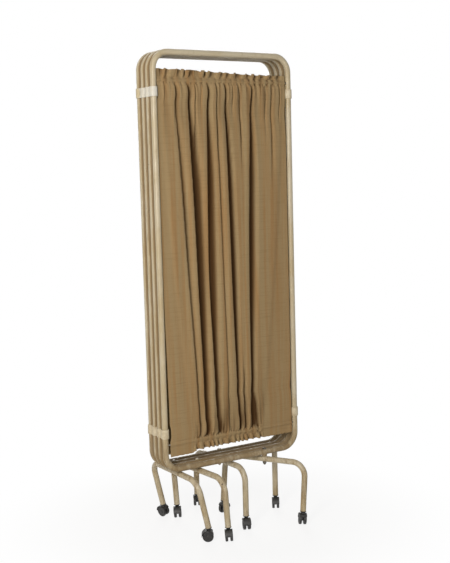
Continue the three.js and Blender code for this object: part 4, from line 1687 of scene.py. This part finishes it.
        # Painted shade by depth: the shell's first face is the back one, so there the cloth's depth
        # counts in reverse.
        painted_shades = np.concatenate([self.tone(-y, out, -stitch_shade), self.tone(y, out, stitch_shade)])
        surface = Surface(np.concatenate(points), faces, np.concatenate([uvs, uvs]), painted_shades)
        name, body = f"gathered_curtain_{self.number}", f"panel_{self.number}"
        node, smooth_angle = f"curtain_{self.number}", 180.0
        made = make_piece(name, surface, body, Coat.COTTON, node, smooth_angle)
        self.width() * self.fullness * MM


# ---- Studio ----


def stand(name: str, data: bpy.types.ID, axes: tuple[Array, ...], place: Triple) -> Object:
    """Stands a camera or a lamp in the scene.

    Args:
        name: The object's name.
        data: The camera or the lamp.
        axes: Its right, its up and its back, as unit vectors.
        place: Where it stands.

    Returns:
        The new object.
    """
    made = bpy.data.objects.new(name, data)
    pose = np.identity(4)
    pose[:3] = np.stack([*axes, place], -1)
    made.matrix_world = Matrix(pose.tolist())
    bpy.context.scene.collection.objects.link(made)
    return made


class Lamp(NamedTuple):
    """One rectangular soft lamp: its place, aim, width and height in metres, and watts."""

    name: str
    place: Triple
    aim: Triple
    size: Pair
    power: float
    colour: str

    def build(self) -> None:
        """Makes the lamp, level and facing its aim."""
        data = bpy.data.lights.new(self.name, "AREA")
        data.shape = "RECTANGLE"
        data.size, data.size_y = self.size
        data.energy = self.power
        data.color = linear(self.colour)[:3]
        away = np.array(self.place) - np.array(self.aim)
        away /= np.linalg.norm(away)
        level = np.cross(UP, away)
        level /= np.linalg.norm(level)
        stand(self.name, data, (level, np.cross(away, level), away), self.place)


@dataclass
class Studio:
    """The camera at the photograph's angle, the floor, the soft lamps and the backdrop."""

    eye: Triple = (-2.03404, -3.27093, 1.333)
    heading: float = 32.18
    pitch: float = -6.07
    roll: float = -1.57
    lens: float = 82.33
    sensor: float = 36.0
    floor_half: float = 30.0
    shadow_reach: float = 0.3
    clear_reach: float = 1.0
    shadow_share: float = 0.86
    world_light: float = 0.26
    lamps: tuple[Lamp, ...] = (
        Lamp("key_left", (-2.5, -2.05, 1.9), (0.0, 0.0, 1.15), (0.7, 2.2), 84.0, "FFFAF4"),
        Lamp("fill_front", (-0.2, -4.6, 2.2), (0.0, 0.0, 1.0), (2.4, 2.4), 22.0, "F6F9FF"),
        Lamp("back_light", (1.8, 3.8, 2.4), (0.0, 0.0, 1.0), (2.2, 2.2), 105.0, "FFFFFF"),
    )

    def camera(self) -> None:
        """Makes the camera from its heading, pitch and roll, in degrees."""
        yaw, pitch, roll = (np.radians(a) for a in (self.heading, self.pitch, self.roll))
        ahead = np.array([np.sin(yaw) * np.cos(pitch), np.cos(yaw) * np.cos(pitch), np.sin(pitch)])
        level = np.array([np.cos(yaw), -np.sin(yaw), 0.0])
        above = np.cross(level, ahead)
        right = np.cos(roll) * level + np.sin(roll) * above
        top = -np.sin(roll) * level + np.cos(roll) * above
        data = bpy.data.cameras.new("photo_camera")
        data.sensor_fit = "HORIZONTAL"
        data.sensor_width = self.sensor
        data.lens = self.lens
        data.clip_end = 100.0
        bpy.context.scene.camera = stand("photo_camera", data, (right, top, -ahead), self.eye)

    def unseen_white(self, add: AddNode) -> NodeSocket:
        """Says whether a ray comes straight from the eye, or off gloss or through glass.

        Args:
            add: Adds a node to the tree.

        Returns:
            A socket that is one for such rays.
        """
        seen = add("LightPath", [], "Is Camera Ray")
        for ray in ("Is Glossy Ray", "Is Transmission Ray"):
            seen = add("Math", [seen, add("LightPath", [], ray)], operation="MAXIMUM")
        return seen

    def floor(self) -> None:
        """Makes the plain pale floor: white to the eye away from the object's shadow."""
        ways = ((-1, -1), (1, -1), (1, 1), (-1, 1))
        corners = [(x * self.floor_half, y * self.floor_half, 0.0) for x, y in ways]
        mesh = bpy.data.meshes.new("studio_floor")
        mesh.from_pydata(corners, [], [(0, 1, 2, 3)])
        material = bpy.data.materials.new("white_paper_floor")
        material.use_nodes = True
        tree = material.node_tree
        add, shader = partial(add_node, tree), tree.nodes["Principled BSDF"]
        feed(shader, {"Base Color": linear("E9E7E2"), "Roughness": 0.9, "Specular IOR Level": 0.1})
        glow = add("Emission", {"Color": (1.0, 1.0, 1.0, 1.0), "Strength": 1.0})
        place = add("TexCoord", [], "Object")
        far = add("VectorMath", [place], "Value", operation="LENGTH")
        ring = [far, self.shadow_reach, self.clear_reach, self.shadow_share, 1.0]
        paper = add("MapRange", ring, interpolation_type="SMOOTHSTEP")
        share = add("Math", [self.unseen_white(add), paper], operation="MULTIPLY")
        both = add("MixShader", [share, shader.outputs[0], glow])
        feed(tree.nodes["Material Output"], {"Surface": both})
        mesh.materials.append(material)
        made = bpy.data.objects.new("studio_floor", mesh)
        bpy.context.scene.collection.objects.link(made)

    def build(self) -> None:
        """Makes the studio."""
        scene = bpy.context.scene
        scene.view_settings.view_transform = "Standard"
        self.camera()
        self.floor()
        for lamp in self.lamps:
            lamp.build()
        world = bpy.data.worlds.new("white_studio")
        scene.world = world
        world.use_nodes = True
        tree = world.node_tree
        add = partial(add_node, tree)
        strength = add("MapRange", [self.unseen_white(add), 0.0, 1.0, self.world_light, 1.0])
        feed(tree.nodes["Background"], {"Color": (1.0, 1.0, 1.0, 1.0), "Strength": strength})


# ---- The whole screen ----


@dataclass
class WardScreen:
    """The folded ward screen: panels, curtains, clips, feet, prop and casters."""

    panels: tuple[int, ...] = (1, 2, 3, 4)

    def build(self) -> None:
        """Builds every sub-assembly in order."""
        for number in self.panels:
            for part in (PanelFrame(number), Curtain(number), ArchFoot(number)):
                part.build()
        PropLeg().build()
        NylonClips().build()
        ends = [f"{number}_{end}" for number in self.panels for end in ("front", "rear")]
        for label in [*ends, "prop"]:
            TwinWheelCaster(label).build()


def main() -> None:
    """Builds the screen and its studio."""
    logging.basicConfig(level=logging.INFO, format="%(name)s %(message)s")
    WardScreen().build()
    Studio().build()


if __name__ == "__main__":
    main()
